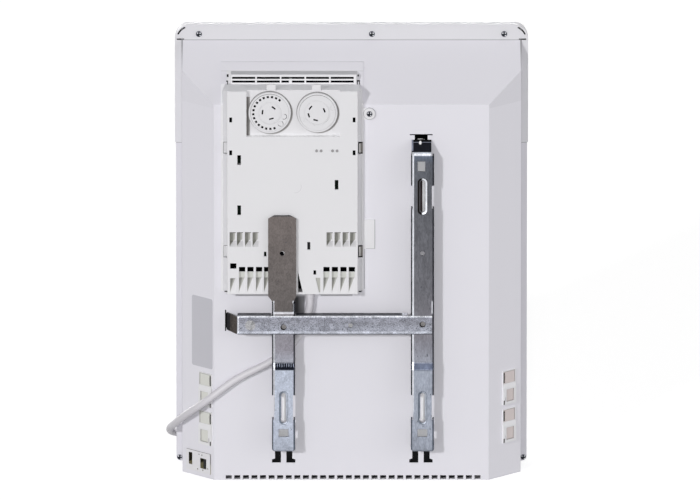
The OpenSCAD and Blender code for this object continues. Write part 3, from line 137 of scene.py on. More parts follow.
class Nodes:
    """A Principled material and short calls for the nodes that feed it."""

    def __init__(self, name, colour, roughness, metallic=0.0):
        self.material = bpy.data.materials.new(name)
        self.material.use_nodes = True
        self.tree = self.material.node_tree
        self.bsdf = self.tree.nodes["Principled BSDF"]
        self.bsdf.inputs["Base Color"].default_value = (*colour, 1)
        self.bsdf.inputs["Roughness"].default_value = roughness
        self.bsdf.inputs["Metallic"].default_value = metallic
        self.place = self.add("ShaderNodeTexCoord").outputs["Object"]

    def add(self, kind, **settings):
        node = self.tree.nodes.new(kind)
        for key, value in settings.items():
            setattr(node, key, value)
        return node

    def feed(self, node, **values):
        for key, value in values.items():
            socket = node.inputs[key.replace("_", " ")]
            if isinstance(value, bpy.types.NodeSocket):
                self.tree.links.new(value, socket)
            else:
                socket.default_value = value
        return node

    def scaled(self, stretch):
        node = self.add("ShaderNodeMapping")
        node.inputs["Scale"].default_value = stretch
        self.tree.links.new(self.place, node.inputs["Vector"])
        return node.outputs["Vector"]

    def noise(self, scale, detail=3.0, stretch=None, rough=0.55):
        node = self.add("ShaderNodeTexNoise")
        self.feed(node, Vector=self.scaled(stretch) if stretch else self.place, Scale=scale, Detail=detail,
                  Roughness=rough)
        return node.outputs["Fac"]

    def cells(self, scale, stretch=None):
        node = self.add("ShaderNodeTexVoronoi")
        self.feed(node, Vector=self.scaled(stretch) if stretch else self.place, Scale=scale)
        split = self.add("ShaderNodeSeparateColor")
        self.tree.links.new(node.outputs["Color"], split.inputs["Color"])
        return split.outputs["Red"]

    def to_range(self, value, low, high, from_low=0.0, from_high=1.0):
        node = self.add("ShaderNodeMapRange")
        self.tree.links.new(value, node.inputs["Value"])
        node.inputs["From Min"].default_value = from_low
        node.inputs["From Max"].default_value = from_high
        node.inputs["To Min"].default_value = low
        node.inputs["To Max"].default_value = high
        return node.outputs["Result"]

    def ramp(self, value, stops):
        node = self.add("ShaderNodeValToRGB")
        self.tree.links.new(value, node.inputs["Fac"])
        elements = node.color_ramp.elements
        while len(elements) < len(stops):
            elements.new(0.5)
        for element, (place, colour) in zip(elements, sorted(stops, key=lambda s: s[0])):
            element.position = place
            element.color = (*colour, 1)
        return node.outputs["Color"]

    def mix(self, factor, a, b, blend="MIX"):
        node = self.add("ShaderNodeMix", data_type="RGBA", blend_type=blend)
        colours = [s for s in node.inputs if s.type == "RGBA"]
        factors = [s for s in node.inputs if s.type == "VALUE"]
        for socket, value in ((factors[0], factor), (colours[0], a), (colours[1], b)):
            if isinstance(value, bpy.types.NodeSocket):
                self.tree.links.new(value, socket)
            else:
                socket.default_value = value if socket.type == "VALUE" else (*value, 1)
        return [s for s in node.outputs if s.type == "RGBA"][0]

    def maths(self, operation, a, b=0.0, c=0.0):
        node = self.add("ShaderNodeMath", operation=operation)
        for socket, value in zip(node.inputs, (a, b, c)):
            if isinstance(value, bpy.types.NodeSocket):
                self.tree.links.new(value, socket)
            else:
                socket.default_value = value
        return node.outputs["Value"]

    def millimetres(self):
        """The three coordinates of the shaded point in millimetres."""
        if not hasattr(self, "mm"):
            split = self.add("ShaderNodeSeparateXYZ")
            self.tree.links.new(self.place, split.inputs["Vector"])
            self.mm = [self.maths("MULTIPLY", split.outputs[k], 1000.0) for k in "XYZ"]
        return self.mm

    def side(self):
        """Distance from the heater's middle plane in millimetres."""
        return self.maths("ABSOLUTE", self.millimetres()[0])

    def within(self, value, low, high, soft=0.15):
        """One between two limits, fading to nought over the soft width."""
        up = self.to_range(value, 0, 1, low - soft, low + soft) if low is not None else None
        down = self.to_range(value, 1, 0, high - soft, high + soft) if high is not None else None
        if up is None or down is None:
            return down if up is None else up
        return self.maths("MULTIPLY", up, down)

    def box(self, x=None, y=None, z=None, soft=0.15):
        """Mask of a box given by the limits on each axis, None for no limit."""
        mask = None
        for value, limits in zip(self.millimetres(), (x, y, z)):
            if limits:
                part = self.within(value, limits[0], limits[1], soft)
                mask = part if mask is None else self.maths("MULTIPLY", mask, part)
        return mask

    def disc(self, x, z, low, high, soft=0.12):
        """Mask of a ring about an axis along Y, or of a disc where low is None."""
        across, _, up = self.millimetres()
        dx, dz = self.maths("SUBTRACT", across, x), self.maths("SUBTRACT", up, z)
        square = self.maths("ADD", self.maths("MULTIPLY", dx, dx), self.maths("MULTIPLY", dz, dz))
        return self.within(self.maths("SQRT", square), low, high, soft)

    def slot(self, x, z_low, z_high, low, high, soft=0.12):
        """Mask of the band between two distances from the middle line of an upright slot."""
        across, _, up = self.millimetres()
        dx = self.maths("SUBTRACT", across, x)
        dz = self.maths("ABSOLUTE", self.maths("SUBTRACT", up, (z_low + z_high) / 2))
        dz = self.maths("MAXIMUM", self.maths("SUBTRACT", dz, (z_high - z_low) / 2), 0.0)
        square = self.maths("ADD", self.maths("MULTIPLY", dx, dx), self.maths("MULTIPLY", dz, dz))
        return self.within(self.maths("SQRT", square), low, high, soft)

    def all(self, masks):
        product = masks[0]
        for mask in masks[1:]:
            product = self.maths("MULTIPLY", product, mask)
        return product

    def any(self, masks):
        total = masks[0]
        for mask in masks[1:]:
            total = self.maths("MAXIMUM", total, mask)
        return total

    def without(self, mask, other):
        return self.maths("MULTIPLY", mask, self.maths("SUBTRACT", 1.0, other))

    def facet(self, side):
        """Distances along a facet from its crease and out of its plane, side 1 at +X and -1 at -X."""
        x, y, _ = self.millimetres()
        beyond = self.maths("SUBTRACT", self.maths("MULTIPLY", x, side), CREASE_X)
        above = self.maths("SUBTRACT", y, BACK_Y)
        along = self.maths("ADD", self.maths("MULTIPLY", beyond, FACET_SIN),
                           self.maths("MULTIPLY", above, -FACET_COS))
        out = self.maths("ADD", self.maths("MULTIPLY", beyond, FACET_COS),
                         self.maths("MULTIPLY", above, FACET_SIN))
        return along, out

    def sloped(self, x_limits, z_limits, soft=0.12):
        """Mask of a band that rises with the distance from the back plate, its limits given at the plate."""
        x, y, z = self.millimetres()
        climb = self.maths("MULTIPLY", self.maths("SUBTRACT", y, BACK_Y), LATCH_SLOPE)
        at_plate = self.maths("SUBTRACT", z, climb)
        return self.all([self.within(x, *x_limits, soft), self.within(at_plate, *z_limits, soft)])

    def paint(self, base, layers):
        """Lays colours over a base colour, each through its mask."""
        for mask, colour in layers:
            base = self.mix(mask, base, colour)
        return base

    def toned(self, base, tone):
        """Multiplies a colour by a grey value."""
        grey = self.add("ShaderNodeCombineColor")
        for key in ("Red", "Green", "Blue"):
            self.tree.links.new(tone, grey.inputs[key])
        return self.mix(1.0, base, grey.outputs["Color"], "MULTIPLY")

    def colour(self, socket):
        """Base colour, with no gloss where it is as dark as a gap."""
        self.tree.links.new(socket, self.bsdf.inputs["Base Color"])
        grey = self.add("ShaderNodeRGBToBW")
        self.tree.links.new(socket, grey.inputs["Color"])
        gloss = self.to_range(grey.outputs["Val"], 0.0, 0.5, 0.015, 0.12)
        self.tree.links.new(gloss, self.bsdf.inputs["Specular IOR Level"])

    def roughness(self, socket):
        self.tree.links.new(socket, self.bsdf.inputs["Roughness"])

    def bump(self, height, distance, strength=1.0):
        node = self.add("ShaderNodeBump")
        node.inputs["Distance"].default_value = distance * MM
        node.inputs["Strength"].default_value = strength
        self.tree.links.new(height, node.inputs["Height"])
        self.tree.links.new(node.outputs["Normal"], self.bsdf.inputs["Normal"])


def shade(colour, factor):
    """A colour made darker or lighter by a factor."""
    return tuple(c * factor for c in colour)


def moulded(name, colour, grain=2400, depth=0.02, rough=(0.42, 0.55), spread=0.02, cloud=14, layers=None):
    """Moulded plastic: faint clouds of colour and a fine eroded grain."""
    m = Nodes(name, colour, sum(rough) / 2)
    base = m.mix(m.noise(cloud, 4), shade(colour, 1 - spread), shade(colour, 1 + spread))
    m.colour(m.paint(base, layers(m)) if layers else base)
    fine = m.noise(grain, 2)
    m.roughness(m.to_range(m.noise(grain / 20, 3), rough[0], rough[1], 0.3, 0.7))
    m.bump(fine, depth)
    return m.material


def painted(name, colour, spread=0.015, layers=None):
    """Powder coat: soft orange peel over sheet steel."""
    m = Nodes(name, colour, 0.4)
    base = m.mix(m.noise(9, 3), shade(colour, 1 - spread), shade(colour, 1 + spread))
    m.colour(m.paint(base, layers(m)) if layers else base)
    m.roughness(m.to_range(m.noise(60, 3), 0.34, 0.48, 0.3, 0.7))
    m.bump(m.noise(700, 2), 0.02)
    return m.material


def galvanised(name, z_low, z_high, stops, layers, grain=(1.0, 1.0, 0.35), speckle=0.10, pits=0.30, fine=650):
    """Zinc coated strip: colour by height along the strip, whose stops carry painted highlights and dark
    reflections, mottled grain, pits, and painted light and shade at the edges.
    """
    rough = 0.40
    m = Nodes(name, stops[0][1], rough, 0.7)
    height = m.to_range(m.millimetres()[2], 0, 1, z_low, z_high)
    base = m.ramp(height, [((z - z_low) / (z_high - z_low), c) for z, c in stops])
    dark = m.within(m.noise(0.74 * fine, 3, grain, 0.6), None, pits, 0.015)
    base = m.paint(base, [(dark, (0.05, 0.055, 0.07))])
    base = m.paint(base, layers(m))
    mottle = m.to_range(m.noise(fine, 5, grain, 0.7), 1 - 2.2 * speckle, 1 + 2.2 * speckle, 0.32, 0.68)
    cell = m.to_range(m.cells(260, grain), 1 - speckle, 1 + speckle)
    m.colour(m.toned(base, m.maths("MULTIPLY", mottle, cell)))
    m.roughness(m.to_range(m.noise(420, 4, grain), rough - 0.08, rough + 0.14, 0.3, 0.7))
    m.bump(m.noise(900, 4, grain), 0.03, 0.6)
    return m.material


def bare_metal(name, colour, rough, metallic=0.9, stretch=(1, 1, 1), scale=500, spread=0.12):
    """Drawn or turned metal: fine streaks of colour and roughness along the stretch."""
    m = Nodes(name, colour, rough, metallic)
    m.colour(m.mix(m.noise(scale, 4, stretch), shade(colour, 1 - spread), shade(colour, 1 + spread)))
    m.roughness(m.to_range(m.noise(scale / 3, 3, stretch), rough - 0.07, rough + 0.12, 0.3, 0.7))
    m.bump(m.noise(scale * 2, 3, stretch), 0.01)
    return m.material


# Colours

WHITE = (0.715, 0.705, 0.755)
BLACK = (0.006, 0.006, 0.007)
LIGHT_ZINC = (0.29, 0.315, 0.375)
# EDGE and TRAY_EDGE: painted dark reflection and shade along the bracket's bends and flanges
EDGE, TRAY_EDGE = (0.012, 0.013, 0.018), (0.06, 0.075, 0.10)
GLINT = (0.78, 0.80, 0.86)
SCREW_HEAD = (0.03, 0.033, 0.042)
CORD_GREY = (0.615, 0.60, 0.635)
DIAL_WHITE = (0.70, 0.695, 0.715)

# Places in millimetres of the part's frame

LEFT_X, RIGHT_X = 68.0, -71.0  # middle lines of the uprights
BAR_Z = 165.3  # middle line of the cross bar
HOUSING_X = 59.0  # middle of the control housing
FACE_Y, WELL_Y = 42.9, 37.3  # just inside the housing's face, and just above the floor of the dial wells
TEMP_X, MODE_X, DIAL_Z = 81.65, 34.15, 382.5
TEMP_R, MODE_R = 21.3, 20.4
HOOD_ARC_X, HOOD_ARC_Z = 160.3, 438.8  # centres of the hood's round corners
PANEL_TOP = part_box("front_panel")[1][2] / MM
LATCH_ROWS = [(230.6, 243.1), (337.5, 349.7)]
LATCH_SLOPE = 0.2586  # rise of the latches' shades for each millimetre away from the back plate
SCOOPS = [50.4, 42, 33.4, 25.4, -34, -42.4, -51, -59.4]  # from the middle of the housing
CORNER_SCOOP = 59.2
POCKETS = [59.7, 52.4, 44.4, 36.8, -37.2, -45.2, -53.2, -60.6]
SOCKET_Z = (34.5, 74.0)  # feet of the two sockets on a facet
COMB_PITCH, COMB_LEVEL = 2.3, 0.75  # the comb's teeth show where its wave is above the level
HOUSING_SCREW_X, _, HOUSING_SCREW_Z = (sum(p) / 2 / MM for p in zip(*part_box("housing_screw")))

# Painted light: patches of the back plate that are seen through holes of the bracket, painted lighter; limits
# along X and along Z
LIT_HOLE_PATCHES = [
    ((-74, -65.5), (317, 330.5)), ((-73.6, -71), (274, 310)), ((-2.5, 4.5), (157, 165)),
    ((66.2, 69), (62, 91)), ((-73, -70), (62, 91)), ((64, 74.5), (43.5, 53)), ((-76, -66), (43.5, 53))]


def across(low, high):
    """Limits along X, given from the middle of the control housing."""
    return HOUSING_X + low, HOUSING_X + high


def painted_shade_inside(m):
    """The inner side of the back plate, seen only through its slots, painted black as shade."""
    return m.box(x=(2 - CREASE_X, CREASE_X - 2), y=(None, SHEET_Y), z=(0.9, 386))


def louvre_clip_shade(m):
    """Clip openings at both ends of the louvre, painted black as shade round the clips."""
    frames = m.any([m.box(x=(-8.4, -5.4), z=(402.8, 407.8)), m.box(x=(123.4, 125.2), z=(403.2, 407.4)),
                    m.box(x=(122.8, 124.6), z=(410.2, 412.4)), m.box(x=(-7.4, -6.0), z=(410.6, 412.2))])
    clips = m.any([m.box(x=(-7.5, -6.3), z=(404, 406.6)), m.box(x=(124.3, 125.4), z=(404.2, 406.4))])
    return m.all([m.without(frames, clips), m.box(y=(None, 27))])


def hood_discs(m, low, high):
    """Rings about the centres of the hood's round corners."""
    return m.any([m.disc(side * HOOD_ARC_X, HOOD_ARC_Z, low, high) for side in (-1, 1)])


def hood_arcs(m, y_low):
    """Gaps round the hood's rear corners, from a plane to the rear; painted black as shade."""
    return m.all([hood_discs(m, 13.85, 15.4), m.within(m.side(), 166.2, 174.3),
                  m.box(y=(y_low, None), z=(445.0, 452.4))])


def shell_layers(m):
    """Painted light and shade: facets painted lighter, painted shade beside, under and behind the housing, in
    the long slot and in the gaps, lighter patches behind the bracket's holes, and a painted shadow line under
    the hood.
    """
    facet_z = (1.5, 384)
    outside = m.box(y=(BACK_Y - 0.4, None), soft=0.1)
    contact_shadows = [m.box(x=across(low, high), z=(190.6, 192.2), soft=0.5) for low, high in ((24, 57), (-60, -28))]
    shade_beside_lead = (172, 191)
    shade_under_housing = m.any([m.box(x=across(-63.5, 63.5), y=(27, None), z=(197.5, 402)),
                     m.box(x=across(-62.5, 62.5), y=(-8, 18), z=(395, 414))])
    return [
        # Facets painted lighter, as painted light
        (m.box(x=(None, -CREASE_X - 0.1), z=facet_z), shade(WHITE, 1.06)),
        (m.box(x=(CREASE_X + 0.1, None), z=facet_z), shade(WHITE, 1.03)),
        # Painted shade: black inside the plate, under the housing and behind the louvre
        (m.any([painted_shade_inside(m), shade_under_housing]), BLACK),
        # Painted contact shadow under the housing's foot
        (m.all([m.any(contact_shadows), outside]), shade(WHITE, 0.5)),
        (m.any([m.box(x=x, z=z) for x, z in LIT_HOLE_PATCHES]), (0.93, 0.93, 0.95)),
        # Painted shade in the long slot of the right upright
        (m.box(x=(-70.9, -65.8), z=(270, 310)), (0.03, 0.022, 0.024)),
        # Painted shade beside the lead, darkest next to the upright
        (m.all([m.box(x=(46.4, 58.5), z=shade_beside_lead, soft=1.2), outside]), shade(WHITE, 0.26)),
        (m.all([m.box(x=(51.5, 58.5), z=shade_beside_lead, soft=2.5), outside]), shade(WHITE, 0.06)),
        (m.box(x=(-13.2, -12.7), z=(198, 240)), shade(WHITE, 0.42)),
        (m.any([louvre_clip_shade(m), hood_arcs(m, -36)]), BLACK),
        # Painted shade in a line under the hood
        (m.box(z=(439.0, None), soft=0.1), shade(WHITE, 0.55)),
        # Painted shade down the sides beside the rim, fading downwards
        (m.all([m.within(m.side(), 168.7, None), m.box(z=(424, None), soft=12)]), shade(WHITE, 0.45))]


def housing_openings(m):
    """Cavity behind the scoops, windows and latches, the space behind the louvre, and the spot behind the
    tongue's hole, all painted black as shade.
    """
    louvre = m.without(m.box(x=across(-61.4, 60.4), y=(None, 12.95), z=(396, 412.9), soft=0.03),
                       m.box(x=across(0.5, 3.5), z=(406, 409.4), soft=0.1))
    side_holes = [m.box(x=across(side * 61.6 - 1.5, side * 61.6 + 1.5), y=(None, FACE_Y), z=(z - 7, z + 5.2),
                        soft=0.05)
                  for side in (-1, 1) for z in (339.4, 373.3)]
    clip = [m.box(x=across(-24.1, -20.7), y=(None, y_high), z=(z_low, 221.4), soft=0.05)
            for y_high, z_low in ((42.85, 215.6), (40.9, 205))]
    return m.any([m.box(x=across(-62, 62), y=(None, 34.6), z=(198.4, 354)),
                  m.box(x=across(-63.9, 63.9), y=(None, 38.55), z=(218.45, 224.35), soft=0.05),
                  m.box(x=across(56, 62.4), y=(None, FACE_Y), z=(222.2, 228), soft=0.05),
                  m.disc(HOUSING_X + 10.9, 237.6, None, 2.5), louvre] + clip + side_holes)


def flange_layers(m):
    """Pressed flange, end wall painted lighter as painted light, thin lines beside the housing and about its
    screw, and the louvre's clip openings painted black as shade.
    """
    from_middle = m.maths("ABSOLUTE", m.maths("SUBTRACT", m.millimetres()[0], HOUSING_X))
    flange = m.any([m.box(z=(415.4, None)),
                    m.all([m.within(from_middle, 65.5, None), m.box(y=(None, 27), z=(392, None))])])
    lit_end_wall = m.box(x=(HOUSING_X + 65, None), y=(None, 42.7), z=(388, 404.7))
    beside = m.all([m.any([m.box(x=(-12.7, -12.0), z=(399, 421)), m.box(x=(-23.5, -22.9), z=(239.4, 270.6)),
                           m.box(x=(-23.5, -14.6), z=(239.2, 240.0))]), m.box(y=(None, 32))])
    face_arc = m.all([m.disc(56.3, 306.8, 6.0, 6.25),
                      m.box(x=(None, 57), y=(42.8, None), z=(None, 309), soft=0.8)])
    screw_ring = m.all([m.disc(HOUSING_SCREW_X, HOUSING_SCREW_Z, 5.6, 6.1), m.box(y=(None, 33))])
    return [(flange, shade(WHITE, 0.99)), (lit_end_wall, (0.80, 0.80, 0.83)),
            (m.any([face_arc, screw_ring, beside]), (0.36, 0.36, 0.38)), (louvre_clip_shade(m), BLACK)]


def left_strip(m, middle, width, low, high):
    """Strip of the given width along the left wall of a pocket, whose middle is given from the housing's."""
    pocket_half = 3.1
    from_wall = m.maths("SUBTRACT", HOUSING_X + middle + pocket_half, m.millimetres()[0])
    strip = m.to_range(m.maths("SUBTRACT", width, from_wall), 0, 1, -0.15, 0.15)
    reach = pocket_half + 0.3
    pocket = m.box(x=across(middle - reach, middle + reach), y=(None, 42.8), z=(low, high), soft=0.05)
    return m.all([strip, pocket])


def pocket_shade(m, widest):
    """Shade in the upper pockets, whose width grows with height up to the widest."""
    rise = m.maths("SUBTRACT", m.millimetres()[2], 245.8)
    width = m.maths("MINIMUM", m.maths("MULTIPLY", rise, 0.97), widest)
    return m.any([left_strip(m, middle, width, 244, 260.6) for middle in POCKETS])


def scoop_shade(m, widest):
    """Shade in the scoops, whose width grows with height."""
    width = m.maths("MULTIPLY", m.maths("SUBTRACT", m.millimetres()[2], 198.6), widest / 13)
    return m.any([left_strip(m, middle, width, 198, 211.6) for middle in SCOOPS + [CORNER_SCOOP]])


def scoop_layers(m):
    """Painted shade in the pockets, the scoops, their backs and the wedge beside them, and a painted shadow
    line along the upper row.
    """
    shaded_backs = m.all([m.any([left_strip(m, middle, 5.9, 211.6, 218.3) for middle in SCOOPS]),
                   m.box(y=(38.6, None))])
    wedge = m.box(x=(30.8, 36.4), y=(41.1, 41.7), z=(195, 216))
    return [(pocket_shade(m, 5.2), (0.42, 0.42, 0.39)), (pocket_shade(m, 3.0), (0.31, 0.31, 0.28)),
            (shaded_backs, (0.60, 0.605, 0.575)), (m.any([scoop_shade(m, 5.2), wedge]), (0.44, 0.44, 0.41)),
            (scoop_shade(m, 2.8), (0.33, 0.33, 0.305)),
            (m.box(x=across(-64, 63), y=(None, 37.5), z=(257.6, 259.4)), (0.16, 0.16, 0.15))]


def latch_layers(m):
    """Left wall painted lighter as painted light; the latches' slanting windows in it and in the right wall,
    drawn as black and dark outlines with painted shade beside a light strip; and the slits at the foot
    painted black as shade.
    """
    def rows(low, high, from_foot=0.0, from_top=0.0):
        return m.any([m.sloped(across(low, high), (foot + from_foot, top - from_top))
                      for foot, top in LATCH_ROWS])

    wall = m.box(y=(29.1, 42.7), soft=0.05)
    slits = [m.sloped(across(-70, -66), (194.6, 196)), m.sloped(across(64, 68), (194.8, 196))]
    outline = m.without(rows(65, 69), rows(65, 68.4, 0.6, 0.6))
    return [(m.box(x=(HOUSING_X + 65.2, None), y=(31.5, 42.7)), (0.84, 0.835, 0.86)),
            (m.all([wall, m.any([rows(-70.2, -65.6)] + slits)]), BLACK),
            (m.all([wall, rows(-68, -66.6, 1.2, 1.6)]), (0.80, 0.79, 0.78)),
            (m.all([wall, rows(-70.2, -68, 1.2, 1.2)]), (0.19, 0.175, 0.165)),
            (m.all([wall, outline]), (0.20, 0.20, 0.20))]


def well_layers(m):
    """Painted shade in the dial wells and at the recess's left corner, and a painted contact shadow line
    round each dial.
    """
    floor = m.box(y=(None, WELL_Y), soft=0.05)
    wells = m.any([m.disc(TEMP_X - 1.6, DIAL_Z - 1.5, None, 21.5, 0.5),
                   m.disc(MODE_X - 1.5, DIAL_Z - 1.3, None, 20.6, 0.5)])
    lines = m.any([m.disc(TEMP_X, DIAL_Z, 21.2, 21.7), m.disc(MODE_X, DIAL_Z, 20.3, 20.8)])
    edge = m.box(x=(101.4, 105.4), y=(None, WELL_Y), z=(358, 398), soft=0.3)
    corner = m.box(x=(103.0, 105.4), y=(None, WELL_Y), z=(358, 398), soft=0.5)
    return [(m.any([m.all([floor, wells]), edge]), (0.30, 0.29, 0.285)),
            (m.all([floor, lines]), (0.17, 0.165, 0.165)), (corner, (0.11, 0.10, 0.095))]


def housing_layers(m):
    """The layers of the control housing, with its ledge and sill painted lighter as painted light and its top
    edge painted darker as shade among them.
    """
    edges = [(m.box(y=(14, FACE_Y), z=(404.8, 405.2), soft=0.05), (0.84, 0.84, 0.87)),
             (m.box(z=(414.8, 415.2), soft=0.05), (0.55, 0.55, 0.57)),
             (m.box(y=(WELL_Y, FACE_Y), z=(358.3, 358.6), soft=0.05), (0.95, 0.95, 0.96))]
    return (flange_layers(m) + [(housing_openings(m), BLACK)] + scoop_layers(m) + latch_layers(m) + edges
            + well_layers(m))


def dial_layers(x, radius, cuts):
    """Painted shade: black inside the cuts of a dial's face, a dark line at its step and at its hub, and a
    dark rim.
    """
    def layers(m):
        inside = m.any([m.disc(x, DIAL_Z, low, high) for low, high in cuts])
        right, _, up = m.millimetres()
        diagonal = m.maths("ADD", m.maths("SUBTRACT", right, x), m.maths("SUBTRACT", up, DIAL_Z))
        upper_left = m.within(diagonal, 2, None, 8)
        step = m.all([m.disc(x, DIAL_Z, radius - 2.3, radius - 1.95, 0.1), upper_left])
        hub = m.without(m.disc(x, DIAL_Z, 11.5, 11.8, 0.1), upper_left)
        rim = m.disc(x, DIAL_Z, radius - 0.35, None, 0.1)
        return [(step, (0.26, 0.255, 0.26)), (hub, (0.50, 0.495, 0.50)), (rim, (0.42, 0.415, 0.42)),
                (m.all([inside, m.box(y=(None, 41.12), soft=0.05)]), BLACK)]
    return layers


def hood_layers(m):
    """Painted shade: black gaps at the rear corners, the hood's underside painted black, and a greyer top."""
    side = m.side()
    slits = m.all([m.within(side, 167.8, 174.6), m.box(z=(439.2, 440.8), soft=0.05)])
    gaps = m.all([m.any([hood_discs(m, 13.7, 15.7), slits]), m.box(y=(-46.9, -33.06), soft=0.05)])
    seams = m.all([m.within(side, 167.6, 174.8), m.box(y=(-34.5, None), z=(439.2, 440.6))])
    inside = m.all([m.within(side, 150, 174.7), m.box(y=(-46.9, -33.7), z=(425, 453.2), soft=0.05),
                    hood_discs(m, None, 14.6)])
    back = m.all([m.within(side, None, 168.5), m.box(y=(-48.1, -33.7), z=(None, 453), soft=0.05)])
    return [(m.any([gaps, inside, back, hood_arcs(m, -34.5), seams]), BLACK),
            (m.box(z=(455.2, None), soft=0.05), (0.60, 0.60, 0.63))]


def panel_layers(m):
    """Painted shadow line where the rim meets the shell, the seam under the hood, and the panel's inner side
    painted black as shade.
    """
    side = m.side()
    shadow = m.all([m.within(side, 169.4, 170.4, 0.2), m.box(z=(400, None), soft=18)])
    back = m.all([m.within(side, None, 168.5), m.box(y=(-48.5, None), soft=0.05)])
    return [(m.any([shadow, m.box(z=(PANEL_TOP - 0.5, None), soft=0.1)]), shade(WHITE, 0.4)), (back, BLACK)]


def screw_layers(node, columns):
    """Cross-recessed head: dark rim, darker middle, and painted highlights at three corners."""
    low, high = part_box(node)
    z = (low[2] + high[2]) / 2 / MM

    def layers(m):
        rims = [m.disc(x, z, 2.2, 3.6) for x in columns]
        # Painted highlights at three corners of each recess
        corners = [m.disc(x + sx * 1.3, z + sz * 1.25, None, 0.6) for x in columns
                   for sx, sz in ((-1, 1), (-1, -1), (1, 1))]
        return [(m.any(rims), (0.045, 0.05, 0.075)), (m.any(corners), (0.85, 0.86, 0.9))]
    return layers


def hook_layers(m, off):
    """Painted highlights: bright left edge, top line and spot on the hook's head."""
    return [(m.all([m.within(off, 9.4, None, 0.3), m.box(z=(344, None))]), (0.24, 0.26, 0.33)),
            (m.box(y=(31.0, 34.0), z=(348.6, 350.6)), (0.22, 0.24, 0.30)),
            (m.all([m.disc(RIGHT_X + 2.3, 350.1, None, 1.3, 0.3), m.box(y=(30.5, 37))]), (1.0, 1.0, 1.0))]


def comb_teeth(m):
    """Teeth across the step of a channel, painted lighter as highlights."""
    wave = m.maths("SINE", m.maths("MULTIPLY", m.millimetres()[0], 2 * math.pi / COMB_PITCH))
    return m.all([m.within(wave, COMB_LEVEL, None, 0.15), m.box(z=(122.2, 125.8), soft=0.4)])


def upright_layers(x0, channel_top, glint_level, slots, comb=False, hooked=False):
    """Painted light and shade on the channel: dark reflection on its bends and flanges, highlights on its
    shoulders and bends, lit and shaded rims of the pressed slots, and boots and hook painted black as shade.
    """
    def layers(m):
        off = m.maths("SUBTRACT", m.millimetres()[0], x0)
        below = m.box(z=(None, channel_top), soft=0.3)
        flange = m.all([m.box(y=(None, 45.4)), below])
        bends = m.any([m.all([m.within(off, 10.4, None, 0.2), below]),
                       m.all([m.within(off, -11.3, -10.0, 0.2), below])])
        tray = m.box(z=(None, 75), soft=2)
        glint = m.all([m.within(off, 8.6, 10.3, 0.25), m.box(z=(76, None), soft=3), below])
        from_middle = m.maths("ABSOLUTE", off)
        ears = m.all([m.within(from_middle, 9.2, 10.2), m.box(z=(177.2, 190), soft=1.0)])
        folds = m.all([m.within(from_middle, 10.2, None), m.box(z=(176.5, 189), soft=1.0)])
        boot = m.box(y=(None, 33.0), z=(None, 40))
        hook = m.box(y=(None, 36.0), z=(350.4, None))
        stack = [(ears, shade(GLINT, 0.9)), (folds, (0.03, 0.032, 0.04))]
        if comb:
            stack += [(comb_teeth(m), (0.13, 0.145, 0.185))]
        stack += [(glint, shade(GLINT, glint_level)), (m.any([bends, flange]), EDGE),
                  (m.all([bends, tray]), TRAY_EDGE), (m.any([boot, hook]), BLACK)]
        if hooked:
            stack += hook_layers(m, off)
        near = m.within(off, 0.4, None, 0.6)
        for low, high, radius, dark, light in slots:
            rim = m.slot(x0, low, high, radius - 0.1, radius + 1.9)
            stack += [(rim, light), (m.all([rim, near]), dark),
                      (m.slot(x0, low, high, radius + 1.7, radius + 2.1, 0.1), shade(dark, 0.6))]
        return stack
    return layers


def bar_layers(m):
    """Painted dark reflection on the top flange, painted highlights on the bends and the end tab, a painted
    shade line below the top bend, seam, clinch mark, and painted shade and dark reflection on the dark turned
    end of the bar.
    """
    face = m.box(y=(47.0, None), soft=0.2)
    bend = m.box(y=(46.6, None), z=(BAR_Z + 8.5, BAR_Z + 9.7))
    low_bend = m.all([m.box(z=(BAR_Z - 8.9, BAR_Z - 6.2), soft=0.4), face])
    lines = m.any([m.box(z=(BAR_Z + 7.9, BAR_Z + 8.3)), m.box(x=(26.6, 27.0), z=(BAR_Z - 8.5, BAR_Z + 8))])
    return [(m.all([m.disc(101.2, BAR_Z, None, 5.2, 0.5), face]), (0.27, 0.27, 0.28)),
            (m.all([lines, face]), (0.07, 0.075, 0.09)), (low_bend, (0.42, 0.44, 0.5)),
            (m.box(y=(None, 46.6)), (0.035, 0.037, 0.047)), (m.box(y=(None, 38.1)), EDGE),
            (bend, shade(GLINT, 0.9)), (m.box(z=(None, BAR_Z - 8.95)), (0.05, 0.055, 0.075)),
            (m.box(x=(112.7, 113.8), z=(BAR_Z - 8, BAR_Z + 9)), shade(GLINT, 0.7)),
            (m.box(x=(114.5, None)), (0.045, 0.036, 0.030)), (m.box(x=(121.5, None)), BLACK),
            (m.box(x=(-56, -50.5), y=(None, 46.6), z=(BAR_Z + 9, None)), GLINT)]


def socket_layers(side, crease_gap, pane):
    """Recessed panes of the foot sockets, their darker outlines, and slits painted black as shade."""
    def layers(m):
        along, _ = m.facet(side)
        z = m.millimetres()[2]

        def patches(low, high, z_low, z_high):
            strip = m.within(along, crease_gap + low, crease_gap + high)
            return m.all([strip, m.any([m.within(z, foot + z_low, foot + z_high) for foot in SOCKET_Z])])

        panes = m.any([patches(0.9, 17.3, 21.9, 34.1), patches(4.6, 15.2, 3, 15.5)])
        hearts = m.any([patches(1.6, 16.8, 21.9, 33.5), patches(5.2, 14.8, 3.5, 15.1)])
        slits = m.any([patches(0.2, 1.9, 0.4, 4.8), patches(1.2, 3.4, 22.6, 32.8)])
        return [(panes, pane), (m.without(panes, hearts), shade(pane, 0.38)), (slits, (0.03, 0.028, 0.026))]
    return layers


